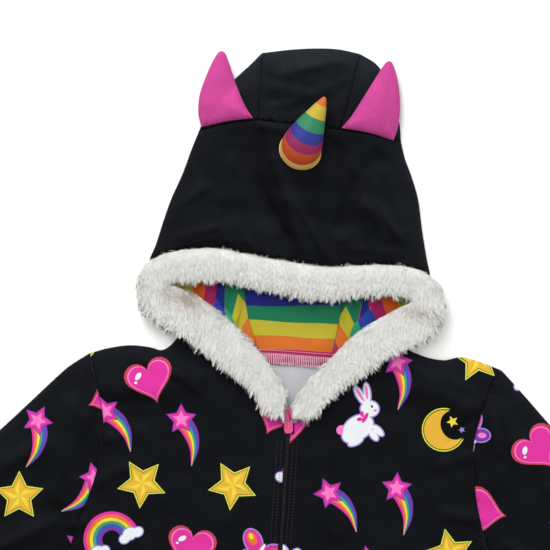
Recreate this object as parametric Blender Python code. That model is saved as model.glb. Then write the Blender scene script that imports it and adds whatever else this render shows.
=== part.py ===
# Hooded onesie for a child of about eight to ten, laid flat on its back with the hood spread above it.
# Tables and sizes are in millimetres in the cutter's frame: x across the garment from the zip's top,
# y up towards the hood, z up from the surface that it lies on. The meshes are written in metres.
import math
from collections import namedtuple

import bmesh
import bpy
import numpy as np
from mathutils import Vector
from mathutils.geometry import delaunay_2d_cdt

MM = 0.001

# Cloth
FLEECE = 1.6
LINING = 1.2
SEAM_GAP = 0.3
SHARPEST_MITRE = 0.2
UPPER_REST = FLEECE + SEAM_GAP
BODY_LOFT = 6.5
HOOD_LOFT = 14.0
BODY_RIM = 17.0
ZIP_RIM = 14.0
HOOD_RIM = 15.0
FOLD_FADE = 12.0

# Body
AXIS_X = -18.0
WAIST_Y = -330.0
CROTCH_Y = -612.0
HEM_Y = -1112.0

# Zip
ZIP_END_Y = -520.0
ZIP_TOP_X = -1.5
SLOT_HALF = 2.15
SLOT_TOP_Y = -9.5
SLOT_END_Y = ZIP_END_Y - 3
CLOSED_TOP_Y = ZIP_END_Y - 11
LIFT_REACH = 30.0
LIFT_FADE = 12.0
TAPE_HALF = 13.0
TAPE_THICK = 0.7
COIL_HALF = 1.9
COIL_HIGH = 1.4
TAPE_TOP_Y = 2.0

# Point spacing of the triangulated panels
OUTLINE_STEP = 24.0
HOOD_OUTLINE_STEP = 16.0
FINE_STEP = 12.0
BODY_STEP = 30.0
HOOD_STEP = 13.0

CentreRow = namedtuple("CentreRow", "x y")
LowerBodyRow = namedtuple("LowerBodyRow", "y side inseam")
SeamRow = namedtuple("SeamRow", "x y")
FoldRow = namedtuple("FoldRow", "x0 y0 x1 y1 width height")
TrimRow = namedtuple("TrimRow", "outer_x outer_y inner_x inner_y base height")
HornRow = namedtuple("HornRow", "x y height radius tilt")

# The front opening and the seam below it lean a little, as the garment was laid
CENTRE = [
    CentreRow(-1.5, 0.0),
    CentreRow(-10.0, -125.0),
    CentreRow(-16.0, -300.0),
    CentreRow(-18.0, -500.0),
    CentreRow(-18.0, CROTCH_Y),
]

# Distances from the axis to the side seam and to the inseam
LOWER_BODY = [
    LowerBodyRow(-230.0, 203.0, None),
    LowerBodyRow(WAIST_Y, 198.0, None),
    LowerBodyRow(-440.0, 206.0, None),
    LowerBodyRow(-540.0, 218.0, None),
    LowerBodyRow(CROTCH_Y, 217.0, 0.0),
    LowerBodyRow(-680.0, 211.0, 8.0),
    LowerBodyRow(-800.0, 197.0, 18.0),
    LowerBodyRow(-960.0, 172.0, 26.0),
    LowerBodyRow(HEM_Y, 150.0, 32.0),
]

# Seams and edges that neighbouring pieces share
SEAMS = {
    "neck_left": [(-7, 0), (-16, 14), (-27, 30), (-44, 46), (-62, 60), (-80, 74), (-96, 86), (-108, 94)],
    "neck_right": [(4, 0), (14, 12), (26, 28), (40, 42), (58, 56), (76, 68), (92, 77), (106, 83)],
    "shoulder_left": [
        (-108, 94), (-114, 86), (-121, 78.5), (-129, 75), (-140, 78), (-160, 80), (-182, 77), (-200, 72),
    ],
    "shoulder_right": [(106, 83), (117, 76), (128, 71), (140, 67), (155, 65), (172, 68), (193, 62), (211, 55)],
    "armhole_left": [(-200, 72), (-197, 57), (-187, 12), (-188, -20), (-196, -57), (-211, -96), (-226, -140)],
    "armhole_right": [(211, 55), (202, 40), (190, 8), (183, -20), (183, -50), (189, -92), (203, -145)],
    "back_neck_left": [(-108, 94), (-80, 78), (-50, 66), (-28, 61)],
    "back_neck_mid": [(-28, 61), (6, 59), (40, 60)],
    "back_neck_right": [(40, 60), (74, 70), (106, 83)],
    "sleeve_top_left": [(-200, 72), (-219, 60), (-231, 50), (-263, 20), (-290, -5), (-420, -124), (-562, -254)],
    "sleeve_under_left": [(-226, -140), (-300, -196), (-390, -260), (-488, -334)],
    "sleeve_top_right": [(211, 55), (222, 43), (238, 25), (257, 3), (350, -104), (440, -207), (528, -306)],
    "sleeve_under_right": [(203, -145), (280, -218), (365, -298), (449, -377)],
    "hood_edge_left": [
        (-108, 94), (-126, 103), (-138, 118), (-143, 138), (-141, 163), (-134, 181),
        (-126, 206), (-118, 228), (-108, 250), (-98, 277), (-91, 294),
    ],
    "hood_top_left": [(-91, 294), (-80, 318), (-58, 343), (-40, 360), (-28, 372)],
    "hood_top": [(-28, 372), (10, 376), (45, 376), (70, 371)],
    "hood_top_right": [(70, 371), (88, 359), (101, 335), (109, 305), (111, 283)],
    "hood_edge_right": [
        (111, 283), (115, 266), (121, 250), (128, 226), (132, 195),
        (136, 170), (140, 150), (141, 130), (136, 108), (124, 92), (106, 83),
    ],
    "ear_seam_left": [(-91, 294), (-60, 301), (-32, 304)],
    "ear_seam_mid": [(-32, 304), (-15, 302), (20, 298), (50, 294.5)],
    "ear_seam_right": [(50, 294.5), (80, 290), (111, 283)],
    "gusset_up_left": [(-32, 304), (-30, 340), (-28, 372)],
    "gusset_up_right": [(50, 294.5), (60, 330), (70, 371)],
    "gusset_low_left": [(-28, 61), (-45, 130), (-44, 250), (-28, 372)],
    "gusset_low_right": [(40, 60), (53, 130), (62, 250), (70, 371)],
    "fur_seam": [
        (-140.5, 164.5), (-124, 171.5), (-100, 176), (-70, 176.5), (-35, 169.5),
        (0, 163.5), (36, 158.5), (72, 160), (105, 160), (128, 155.5), (138.5, 151),
    ],
    "lining_neck_left": [(-98, 91), (-80, 78), (-58, 67.5), (-43, 64.3), (-28, 63)],
    "lining_neck_mid": [(-28, 63), (6, 61), (40, 62)],
    "lining_neck_right": [(40, 62), (72, 72), (98, 83)],
    "lining_edge_left": [
        (-98, 91), (-116, 102), (-128, 126), (-127, 160), (-117, 190),
        (-104, 220), (-87, 258), (-76, 290), (-50, 330), (-30, 356),
    ],
    "lining_edge_right": [
        (67, 352), (84, 335), (96, 300), (104, 255), (112, 215),
        (119, 180), (126, 150), (127, 128), (118, 101), (98, 83),
    ],
    "lining_top": [(-30, 356), (10, 362), (40, 361), (67, 352)],
    "lining_seam_left": [(-28, 63), (-45, 130), (-44, 250), (-30, 356)],
    "lining_seam_right": [(40, 62), (53, 130), (62, 250), (67, 352)],
    "ear_side_left": [
        (-37, 306), (-45, 319), (-53, 338), (-61, 362), (-65, 371.5), (-70, 373),
        (-76, 365), (-83, 350), (-90, 330), (-91.5, 312), (-88.5, 297.5),
    ],
    "ear_base_left": [(-88.5, 297.5), (-62, 303), (-37, 306)],
    "ear_side_right": [
        (103, 284), (107, 295), (109.5, 312), (109, 332), (106, 350), (101.5, 362), (96.5, 362.5),
        (90, 354), (75, 330), (61, 308), (51, 296),
    ],
    "ear_base_right": [(51, 296), (78, 291.5), (103, 284)],
}
HOOD_SEAMS = ("hood", "gusset", "ear", "back_neck", "fur", "lining")
SILHOUETTE = ("neck_", "shoulder_", "side_up_", "side_low_", "inseam_", "sleeve_top_", "sleeve_under_")
STRAIGHT = {"notch_left", "notch_right", "hem_left", "hem_right", "waist_left", "waist_right", "seat"}

# Soft folds of the upper layer, each a ridge (or, with a negative height, a trough) along a line
HOOD_FOLDS = [
    FoldRow(-38, 285, -28, 210, 12, -2.0),
    FoldRow(-15, 262, 13, 178, 11, 2.6),
    FoldRow(-34, 228, -4, 184, 9, -2.2),
    FoldRow(33, 262, 36, 172, 9, 2.2),
    FoldRow(47, 275, 44, 170, 6, -2.6),
    FoldRow(88, 265, 54, 200, 10, -3.0),
    FoldRow(76, 219, 108, 190, 8, 2.6),
    FoldRow(-118, 210, -92, 238, 8, 2.0),
    FoldRow(-108, 184, -58, 194, 9, 1.8),
    FoldRow(-4, 352, 52, 366, 8, 2.2),
    FoldRow(-18, 326, 12, 318, 9, -1.8),
]
BODY_FOLDS = [
    FoldRow(-124, 66, -92, 46, 8, 2.6),
    FoldRow(-180, 40, -118, 38, 11, 2.0),
    FoldRow(-176, 4, -104, 14, 12, -1.6),
    FoldRow(126, 44, 178, 18, 12, 2.2),
    FoldRow(-60, -70, -120, -250, 20, 2.2),
    FoldRow(70, -90, 120, -280, 20, 2.0),
    FoldRow(-200, -250, -90, -300, 16, 2.6),
    FoldRow(150, -290, 60, -330, 16, 2.4),
    FoldRow(-190, -420, -70, -470, 18, 2.2),
    FoldRow(160, -440, 40, -490, 18, 2.6),
    FoldRow(-40, -590, -190, -540, 16, 3.0),
    FoldRow(4, -590, 150, -550, 16, 3.0),
    FoldRow(-60, -650, -170, -720, 18, 2.6),
    FoldRow(24, -640, 130, -730, 18, 2.4),
    FoldRow(-70, -820, -170, -850, 16, 2.2),
    FoldRow(30, -850, 120, -880, 16, 2.4),
    FoldRow(-80, -980, -140, -1060, 14, 2.0),
    FoldRow(50, -960, 96, -1050, 14, 2.2),
    FoldRow(-216, 20, -232, -70, 9, 3.0),
    FoldRow(-250, -20, -330, -60, 12, 2.4),
    FoldRow(-258, -110, -350, -150, 14, 2.6),
    FoldRow(-390, -130, -440, -230, 12, 2.6),
    FoldRow(206, 10, 196, -70, 8, 3.2),
    FoldRow(232, -20, 300, -90, 12, 2.2),
    FoldRow(240, -140, 330, -160, 14, 2.6),
    FoldRow(370, -160, 400, -270, 12, 2.6),
]

# The fur band, from the zip's left side round the face to its right side
FUR_TRIM = [
    TrimRow(-7.0, 5.0, -7.0, 22.0, 6.6, 15),
    TrimRow(-27, 10.5, -6.2, 35, 6.6, 17),
    TrimRow(-38, 28.5, -15, 51, 6.6, 18),
    TrimRow(-53, 43, -27, 68, 6.6, 19),
    TrimRow(-70, 56.5, -41, 85, 6.6, 20),
    TrimRow(-87, 70.5, -58, 102, 6.6, 20),
    TrimRow(-104, 84.5, -76, 116.5, 6.6, 20),
    TrimRow(-121.5, 94, -92, 128.5, 6.6, 20),
    TrimRow(-137, 105, -105, 137, 7, 20),
    TrimRow(-147, 116, -113, 142, 7.5, 20),
    TrimRow(-151, 132, -116, 143.5, 8, 19.5),
    TrimRow(-148.5, 150, -115.5, 144, 8, 19.5),
    TrimRow(-139, 164, -112, 143.5, 8.5, 19),
    TrimRow(-122, 171.5, -105, 142, 9, 18.5),
    TrimRow(-100, 175.5, -93, 140.5, 9, 18.5),
    TrimRow(-70, 176, -66, 140.5, 9, 18.5),
    TrimRow(-35, 169, -37, 134.5, 9, 18.5),
    TrimRow(0, 163, -2, 127, 9, 18.5),
    TrimRow(36, 158, 33, 122, 9, 18.5),
    TrimRow(72, 159.5, 69, 126, 9, 18.5),
    TrimRow(105, 159.5, 99, 126.5, 9, 18.5),
    TrimRow(128, 155, 112, 126, 9, 18.5),
    TrimRow(143, 147, 117, 125, 8.5, 19),
    TrimRow(153, 134, 118, 123.5, 8, 19),
    TrimRow(156, 116, 114, 121, 7.5, 20),
    TrimRow(151, 100, 104.5, 115.5, 7, 20),
    TrimRow(140, 87.5, 92, 108.5, 6.6, 20),
    TrimRow(122, 77.5, 79, 101, 6.6, 20),
    TrimRow(102, 68, 65.5, 91, 6.6, 20),
    TrimRow(84, 56, 53, 79, 6.6, 19),
    TrimRow(66, 43, 40.5, 66, 6.6, 19),
    TrimRow(48.5, 31, 26, 52, 6.6, 18),
    TrimRow(35.5, 17.5, 13.5, 37, 6.6, 18),
    TrimRow(23.5, 6.5, 7.5, 24, 6.6, 16),
    TrimRow(4.2, 5.0, 4.2, 18, 6.6, 15),
]
FUR_SIDES = 10

# The stuffed horn, from its seam on the hood to its tip, which leans up and to the right
HORN = [
    HornRow(10.0, 273.5, 0.8, 20.5, 0),
    HornRow(11.0, 277.0, 7.4, 20.3, 18),
    HornRow(14.0, 284.0, 13.9, 19.0, 42),
    HornRow(20.0, 297.0, 15.4, 14.8, 66),
    HornRow(26.0, 309.0, 14.8, 9.8, 76),
    HornRow(31.0, 319.0, 13.4, 5.5, 80),
    HornRow(34.3, 326.0, 12.6, 1.6, 80),
]
HORN_LEAN = Vector((24.3, 52.5)).normalized()
HORN_BASE_DEPTH = 0.86
HORN_SIDES = 16

EAR_LIFT = 0.9
EAR_LOW = 9.0
EAR_RIM = 3.0
EAR_LOFT = 8.5
EAR_SHOULDER = 9.0

SLEEVE_STATIONS = 10

# Slider and pull tab
SLIDER_LONG = 14.0
SLIDER_HALF = 4.4
SLIDER_NOSE_HALF = 2.8
SLIDER_MID_Y = -1.0
RAIL_INNER = 3.0
RAIL_FLOOR = UPPER_REST + TAPE_THICK + SEAM_GAP
PLATE_FLOOR = UPPER_REST + TAPE_THICK + COIL_HIGH + SEAM_GAP
PLATE_THICK = 1.3
BAIL_REACH = 3.75
BAIL_HALF_WIDE = 0.9
BAIL_BAR = 0.8
BAIL_HIGH = 3.0
HINGE_Y = -1.2
HINGE_Z = PLATE_FLOOR + PLATE_THICK + 1.1
TAB_THICK = 1.2
TAB_LONG = 18.2
TAB_HALF = 3.6
TAB_TIP_HALF = 2.5
WINDOW_HALF = 1.7
WINDOW_LONG = 5.0

COLOURS = {
    "black_fleece": ((0.012, 0.013, 0.018, 1), 0.85, 0.0),
    "rainbow_lining": ((0.75, 0.35, 0.08, 1), 0.75, 0.0),
    "white_fur": ((0.86, 0.85, 0.81, 1), 0.95, 0.0),
    "pink_fleece": ((0.78, 0.08, 0.45, 1), 0.85, 0.0),
    "rainbow_satin": ((0.65, 0.25, 0.10, 1), 0.6, 0.0),
    "black_tape": ((0.02, 0.02, 0.025, 1), 0.7, 0.0),
    "pink_enamel": ((0.85, 0.08, 0.30, 1), 0.35, 0.3),
}


def remove_old_objects():
    for old in list(bpy.data.objects):
        bpy.data.objects.remove(old, do_unlink=True)


def material(name):
    colour, roughness, metallic = COLOURS[name]
    made = bpy.data.materials.get(name) or bpy.data.materials.new(name)
    made.use_nodes = True
    shader = made.node_tree.nodes["Principled BSDF"]
    shader.inputs["Base Color"].default_value = colour
    shader.inputs["Roughness"].default_value = roughness
    shader.inputs["Metallic"].default_value = metallic
    return made


# Curves, outlines and triangulation


def centre_x(y):
    """x of the zip and the seam below it at height y."""
    rows = CENTRE[::-1]
    return float(np.interp(y, [r.y for r in rows], [r.x for r in rows]))


def add_body_seams():
    """The side seams, inseams, waist, hems and front edges, worked out from the axis and the body table."""
    for name, sign in (("left", -1), ("right", 1)):
        armpit = SEAMS["armhole_" + name][-1]
        side = [SeamRow(AXIS_X + sign * r.side, r.y) for r in LOWER_BODY]
        waist = [r.y for r in LOWER_BODY].index(WAIST_Y)
        inseam = [SeamRow(AXIS_X + sign * r.inseam, r.y) for r in LOWER_BODY if r.inseam is not None]
        SEAMS["side_up_" + name] = [SeamRow(*armpit)] + side[: waist + 1]
        SEAMS["side_low_" + name] = side[waist:]
        SEAMS["inseam_" + name] = inseam
        SEAMS["hem_" + name] = [side[-1], inseam[-1]]
        SEAMS["waist_" + name] = [side[waist], SeamRow(AXIS_X, WAIST_Y)]
        slot_top = SeamRow(centre_x(SLOT_TOP_Y) + sign * SLOT_HALF, SLOT_TOP_Y)
        neck_start = SeamRow(*SEAMS["neck_" + name][0])
        SEAMS["notch_" + name] = [slot_top, SeamRow(neck_start.x, SLOT_TOP_Y + 1), neck_start]
        opening = [SeamRow(centre_x(y) + sign * SLOT_HALF, y) for y in np.linspace(SLOT_TOP_Y, SLOT_END_Y, 20)]
        closed = [SeamRow(centre_x(y), y) for y in np.linspace(CLOSED_TOP_Y, CROTCH_Y, 5)]
        SEAMS["front_edge_" + name] = opening + closed
        STRAIGHT.add("front_edge_" + name)
    SEAMS["seat"] = [SeamRow(AXIS_X, WAIST_Y), SeamRow(AXIS_X, CROTCH_Y)]


def spline(rows, step):
    """Points along a Catmull-Rom curve through the rows, about a step apart."""
    points = [np.array(r, float) for r in rows]
    ahead = [2 * points[0] - points[1]] + points + [2 * points[-1] - points[-2]]
    found = []
    for p0, p1, p2, p3 in zip(ahead, ahead[1:], ahead[2:], ahead[3:]):
        count = max(1, round(float(np.linalg.norm(p2 - p1)) / step))
        for k in range(count):
            t = k / count
            bend = (p2 - p0) * t + (2 * p0 - 5 * p1 + 4 * p2 - p3) * t**2
            found.append(0.5 * (2 * p1 + bend + (3 * p1 - p0 - 3 * p2 + p3) * t**3))
    return found + [points[-1]]


def polyline(rows, step):
    """Points along straight runs between the rows, about a step apart."""
    points = [np.array(r, float) for r in rows]
    found = []
    for a, b in zip(points, points[1:]):
        count = max(1, round(float(np.linalg.norm(b - a)) / step))
        found += [a + (b - a) * k / count for k in range(count)]
    return found + [points[-1]]


def seam(name, step=None):
    """Points of a named seam. A leading minus runs it backwards."""
    plain = name.lstrip("-")
    if step is None:
        step = HOOD_OUTLINE_STEP if plain.startswith(HOOD_SEAMS) else OUTLINE_STEP
    points = polyline(SEAMS[plain], step) if plain in STRAIGHT else spline(SEAMS[plain], step)
    return points[::-1] if name.startswith("-") else points


def outline(*names, step=None):
    """The closed outline made by these seams end to end, anticlockwise."""
    points = []
    for name in names:
        points += seam(name, step)[:-1]
    points = np.array(points)
    following = np.roll(points, -1, axis=0)
    area = float((points[:, 0] * following[:, 1] - points[:, 1] * following[:, 0]).sum())
    return points[::-1].copy() if area < 0 else points


def moved_left(points, before, after, amount):
    """Points moved to the left of the runs that reach and leave them, mitred at corners."""
    left_in, left_out = [np.stack([-run[:, 1], run[:, 0]], 1) for run in (points - before, after - points)]
    left_in /= np.linalg.norm(left_in, axis=1)[:, None]
    left_out /= np.linalg.norm(left_out, axis=1)[:, None]
    middle = left_in + left_out
    middle /= np.maximum(np.linalg.norm(middle, axis=1), 1e-9)[:, None]
    share = np.maximum((middle * left_in).sum(1), SHARPEST_MITRE)
    return points + middle * (amount / share)[:, None]


def inset(points, amount=SEAM_GAP / 2):
    """The outline moved inwards, so that neighbours keep their gap at a seam."""
    return moved_left(points, np.roll(points, 1, axis=0), np.roll(points, -1, axis=0), amount)


def beside(line, amount):
    """An open seam moved to its left."""
    line = np.array(line)
    before = np.vstack([2 * line[:1] - line[1:2], line[:-1]])
    after = np.vstack([line[1:], 2 * line[-1:] - line[-2:-1]])
    return moved_left(line, before, after, amount)


def distance_to(points, lines):
    """Shortest distance from each point to any of the polylines."""
    points = np.atleast_2d(points)
    best = np.full(len(points), 1e9)
    for line in lines:
        line = np.array(line)
        for a, b in zip(line, line[1:]):
            along = np.clip(((points - a) @ (b - a)) / max(float((b - a) @ (b - a)), 1e-9), 0, 1)
            best = np.minimum(best, np.linalg.norm(points - (a + along[:, None] * (b - a)), axis=1))
    return best


def inside(points, loop):
    """Which points lie inside the closed outline."""
    found = np.zeros(len(points), bool)
    for a, b in zip(loop, np.roll(loop, -1, axis=0)):
        crosses = (a[1] > points[:, 1]) != (b[1] > points[:, 1])
        at = a[0] + (points[:, 1] - a[1]) * (b[0] - a[0]) / (b[1] - a[1] if b[1] != a[1] else 1e-12)
        found ^= crosses & (points[:, 0] < at)
    return found


def triangulate(loop, spacing=None):
    """Points and triangles that fill an outline, with a staggered grid inside it where a spacing is given."""
    points = [tuple(p) for p in loop]
    if spacing:
        low, high = loop.min(0), loop.max(0)
        rows = np.arange(low[1] + spacing / 2, high[1], spacing * math.sqrt(3) / 2)
        across = np.arange(low[0], high[0], spacing)
        grid = np.array([(x + (k % 2) * spacing / 2, y) for k, y in enumerate(rows) for x in across])
        grid = grid[inside(grid, loop)]
        closed = np.vstack([loop, loop[:1]])
        points += [tuple(p) for p in grid[distance_to(grid, [closed]) > 0.55 * spacing]]
    edges = [(k, (k + 1) % len(loop)) for k in range(len(loop))]
    found, _, faces, _, _, _ = delaunay_2d_cdt([Vector(p) for p in points], edges, [], 1, 1e-6)
    flat = np.array([tuple(p) for p in found])
    turned = []
    for a, b, c in faces:
        ab, ac = flat[b] - flat[a], flat[c] - flat[a]
        turned.append((a, b, c) if ab[0] * ac[1] - ab[1] * ac[0] > 0 else (a, c, b))
    return flat, turned


def rim_edges(faces):
    """Directed edges round the outside of a triangulated panel."""
    uses = {(f[k], f[(k + 1) % 3]) for f in faces for k in range(3)}
    return [(a, b) for a, b in uses if (b, a) not in uses]


# Heights of the upper layers above the surface


def fold_height(points, folds):
    """Sum of the soft ridges and troughs at each point."""
    total = np.zeros(len(points))
    for f in folds:
        reach = distance_to(points, [[(f.x0, f.y0), (f.x1, f.y1)]])
        total += f.height * np.exp(-((reach / f.width) ** 2))
    return total


def rounded(distance, rim):
    return 1 - np.exp(-distance / rim)


def zip_lift(points):
    """How far the front is held up by the zip's tape beneath it."""
    across = np.abs(points[:, 0] - np.array([centre_x(y) for y in points[:, 1]]))
    share = np.clip((LIFT_REACH - across) / LIFT_FADE, 0, 1)
    return (TAPE_THICK + SEAM_GAP) * share * (points[:, 1] > CLOSED_TOP_Y - 1)


def upper_loft(points, side):
    """How far the upper cloth stands off the lower one, which is nothing where they meet at the silhouette."""
    reach = distance_to(points, [seam(name + side, FINE_STEP) for name in SILHOUETTE])
    folds = fold_height(points, BODY_FOLDS) * rounded(reach, FOLD_FADE)
    return np.maximum(BODY_LOFT * rounded(reach, BODY_RIM) + folds, 0)


def front_floor(points, side):
    """Underside of a front panel, which lies low along the zip."""
    from_zip = distance_to(points, [[(centre_x(0), 0), (centre_x(ZIP_END_Y), ZIP_END_Y)]])
    return UPPER_REST + upper_loft(points, side) * rounded(from_zip, ZIP_RIM) + zip_lift(points)


def hood_floor(points):
    """Underside of the hood's upper layer, which falls to the lower layer all round its silhouette."""
    edge = [
        seam(name, FINE_STEP)
        for name in ("hood_edge_left", "hood_top_left", "hood_top", "hood_top_right", "hood_edge_right")
    ]
    reach = distance_to(points, edge)
    folds = fold_height(points, HOOD_FOLDS) * rounded(reach, FOLD_FADE)
    return UPPER_REST + HOOD_LOFT * rounded(reach, HOOD_RIM) + folds


# Solids


def garment_centre():
    """Middle of the garment's plan, which is the frame's origin."""
    rows = [r for rows in SEAMS.values() for r in rows]
    xs, ys = [r[0] for r in rows], [r[1] for r in rows]
    return (min(xs) + max(xs)) / 2, (min(ys) + max(ys)) / 2


def make_object(name, points, faces, colour, smooth=True):
    """One closed solid from points in the cutter's frame, in millimetres."""
    origin_x, origin_y = garment_centre()
    mesh = bpy.data.meshes.new(name)
    placed = [((x - origin_x) * MM, (y - origin_y) * MM, z * MM) for x, y, z in points]
    mesh.from_pydata(placed, [], faces)
    made = bpy.data.objects.new(name, mesh)
    bpy.context.scene.collection.objects.link(made)
    work = bmesh.new()
    work.from_mesh(mesh)
    bmesh.ops.recalc_face_normals(work, faces=work.faces)
    work.to_mesh(mesh)
    work.free()
    mesh.materials.append(material(colour))
    if smooth:
        mesh.shade_smooth()
        mesh.set_sharp_from_angle(angle=math.radians(50))
    return made


def plate(name, flat, faces, floor, top, colour):
    """A panel between two heights given at each of its points."""
    count = len(flat)
    points = [(*p, z) for p, z in zip(flat, floor)] + [(*p, z) for p, z in zip(flat, top)]
    solid = [(a, c, b) for a, b, c in faces] + [(a + count, b + count, c + count) for a, b, c in faces]
    solid += [(a, b, b + count, a + count) for a, b in rim_edges(faces)]
    return make_object(name, points, solid, colour)


def flat_plate(name, loop, floor, thick, colour):
    flat, faces = triangulate(inset(loop))
    low = np.full(len(flat), floor)
    return plate(name, flat, faces, low, low + thick, colour)


def folded_panel(name, lower_names, upper_names, fold, colour):
    """A hood panel whose lower layer turns over a fold on the silhouette and lies back on itself."""
    on_fold = fold_line(fold)
    lower_loop, lower_tuck = match_fold(outline(*lower_names), on_fold)
    upper_loop, upper_tuck = match_fold(outline(*upper_names), on_fold)
    low_flat, low_faces = triangulate(lower_loop)
    up_flat, up_faces = triangulate(upper_loop, HOOD_STEP)
    fold_keys = [tuple(np.round(p, 3)) for p in on_fold]
    low_index = {tuple(np.round(p, 3)): k for k, p in enumerate(low_flat)}
    up_index = {tuple(np.round(p, 3)): k for k, p in enumerate(up_flat)}
    low_in = [lower_tuck.get(tuple(np.round(p, 3)), p) for p in low_flat]
    up_in = [upper_tuck.get(tuple(np.round(p, 3)), p) for p in up_flat]
    under = hood_floor(up_flat)
    layers = {
        "low_out": [(*p, 0.0) for p in low_flat],
        "low_in": [(*p, FLEECE) for p in low_in],
        "up_in": [(*p, z) for p, z in zip(up_in, under)],
        "up_out": [(*p, z + FLEECE) for p, z in zip(up_flat, under)],
    }
    points, start = [], {}
    for key, layer in layers.items():
        start[key] = len(points)
        points += layer
    solid = [tuple(start["low_out"] + k for k in (a, c, b)) for a, b, c in low_faces]
    solid += [tuple(start["low_in"] + k for k in f) for f in low_faces]
    solid += [tuple(start["up_in"] + k for k in (a, c, b)) for a, b, c in up_faces]
    solid += [tuple(start["up_out"] + k for k in f) for f in up_faces]
    low_of = {key: low_index[key] for key in fold_keys}
    up_of = {key: up_index[key] for key in fold_keys}
    low_fold, up_fold = set(low_of.values()), set(up_of.values())
    for a, b in rim_edges(low_faces):
        if not (a in low_fold and b in low_fold):
            solid.append((start["low_out"] + a, start["low_out"] + b, start["low_in"] + b, start["low_in"] + a))
    for a, b in rim_edges(up_faces):
        if not (a in up_fold and b in up_fold):
            solid.append((start["up_in"] + a, start["up_in"] + b, start["up_out"] + b, start["up_out"] + a))
    key_of = {k: key for key, k in low_of.items()}
    ring = [(key_of[a], key_of[b]) for a, b in rim_edges(low_faces) if a in low_fold and b in low_fold]
    for a, b in ring:
        for low, up, flip in (("low_out", "up_out", False), ("low_in", "up_in", True)):
            wall = (start[low] + low_of[a], start[low] + low_of[b], start[up] + up_of[b], start[up] + up_of[a])
            solid.append(wall[::-1] if flip else wall)
    begins = {a for a, _ in ring} - {b for _, b in ring}
    ends = {b for _, b in ring} - {a for a, _ in ring}
    for keys, turned in ((begins, False), (ends, True)):
        for key in keys:
            low_out, low_in = start["low_out"] + low_of[key], start["low_in"] + low_of[key]
            up_out, up_in = start["up_out"] + up_of[key], start["up_in"] + up_of[key]
            for cap in ((low_out, up_out, up_in), (low_out, up_in, low_in)):
                solid.append(cap[::-1] if turned else cap)
    return make_object(name, points, solid, colour)


def fold_line(name):
    """Points of a fold on the silhouette, set in from it and from the seams at its ends."""
    line = beside(seam(name), -SEAM_GAP / 2)
    for end, near in ((0, 1), (-1, -2)):
        run = line[near] - line[end]
        line[end] += run / np.linalg.norm(run) * 3 * SEAM_GAP
    return line


def match_fold(loop, fold):
    """The outline set in, with its fold on the given points, and where its inner face lies at each of them."""
    edge, face = inset(loop), inset(loop, FLEECE + SEAM_GAP / 2)
    tuck = {}
    for p in fold:
        near = int(np.argmin(np.linalg.norm(edge - p, axis=1)))
        edge[near] = p
        tuck[tuple(np.round(p, 3))] = face[near]
    return edge, tuck


def ring_solid(name, rings, colour):
    """A solid skinned over rings of equal count, capped at both ends."""
    count = len(rings[0])
    points = [tuple(p) for ring in rings for p in ring]
    faces = []
    for k in range(len(rings) - 1):
        for j in range(count):
            a, b = k * count + j, k * count + (j + 1) % count
            faces.append((a, b, b + count, a + count))
    faces.append(tuple(range(count))[::-1])
    faces.append(tuple((len(rings) - 1) * count + j for j in range(count)))
    return make_object(name, points, faces, colour)


# Pieces of the garment


def back_panels():
    body = outline(
        "back_neck_left", "back_neck_mid", "back_neck_right", "shoulder_right", "armhole_right",
        "side_up_right", "waist_right", "-waist_left", "-side_up_left", "-armhole_left", "-shoulder_left",
    )
    flat_plate("back_body", body, 0.0, FLEECE, "black_fleece")
    for side in ("left", "right"):
        leg = outline("waist_" + side, "seat", "inseam_" + side, "-hem_" + side, "-side_low_" + side)
        flat_plate("back_leg_" + side, leg, 0.0, FLEECE, "black_fleece")


def front_panels():
    for side in ("left", "right"):
        names = ["neck_" + side, "shoulder_" + side, "armhole_" + side, "side_up_" + side, "side_low_" + side]
        names += ["hem_" + side, "-inseam_" + side, "-front_edge_" + side, "notch_" + side]
        loop = outline(*names)
        flat, faces = triangulate(inset(loop), BODY_STEP)
        floor = front_floor(flat, side)
        plate("front_" + side, flat, faces, floor, floor + FLEECE, "black_fleece")


def resample(points, count):
    """Equal steps along a polyline."""
    points = np.array(points)
    run = np.concatenate([[0], np.cumsum(np.linalg.norm(np.diff(points, axis=0), axis=1))])
    at = np.linspace(0, run[-1], count)
    return np.stack([np.interp(at, run, points[:, 0]), np.interp(at, run, points[:, 1])], 1)


def sleeve_grid(side):
    """Plan of a sleeve, station by station from the armhole to the cuff: a patch between its four edges."""
    outward = -1 if side == "left" else 1
    armhole = beside(seam("armhole_" + side), outward * SEAM_GAP / 2)
    top = resample(seam("sleeve_top_" + side, FINE_STEP), SLEEVE_STATIONS)
    under = resample(seam("sleeve_under_" + side, FINE_STEP), SLEEVE_STATIONS)
    top += armhole[0] - top[0]
    under += armhole[-1] - under[0]
    run = np.concatenate([[0], np.cumsum(np.linalg.norm(np.diff(armhole, axis=0), axis=1))])
    across = (run / run[-1])[:, None]
    cuff = top[-1] + across * (under[-1] - top[-1])
    grid = []
    for i, t in enumerate(np.linspace(0, 1, SLEEVE_STATIONS)):
        chord = armhole[0] + across * (armhole[-1] - armhole[0])
        corners = (1 - t) * chord + t * cuff
        grid.append((1 - t) * armhole + t * cuff + (1 - across) * top[i] + across * under[i] - corners)
    return np.array(grid)


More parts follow.
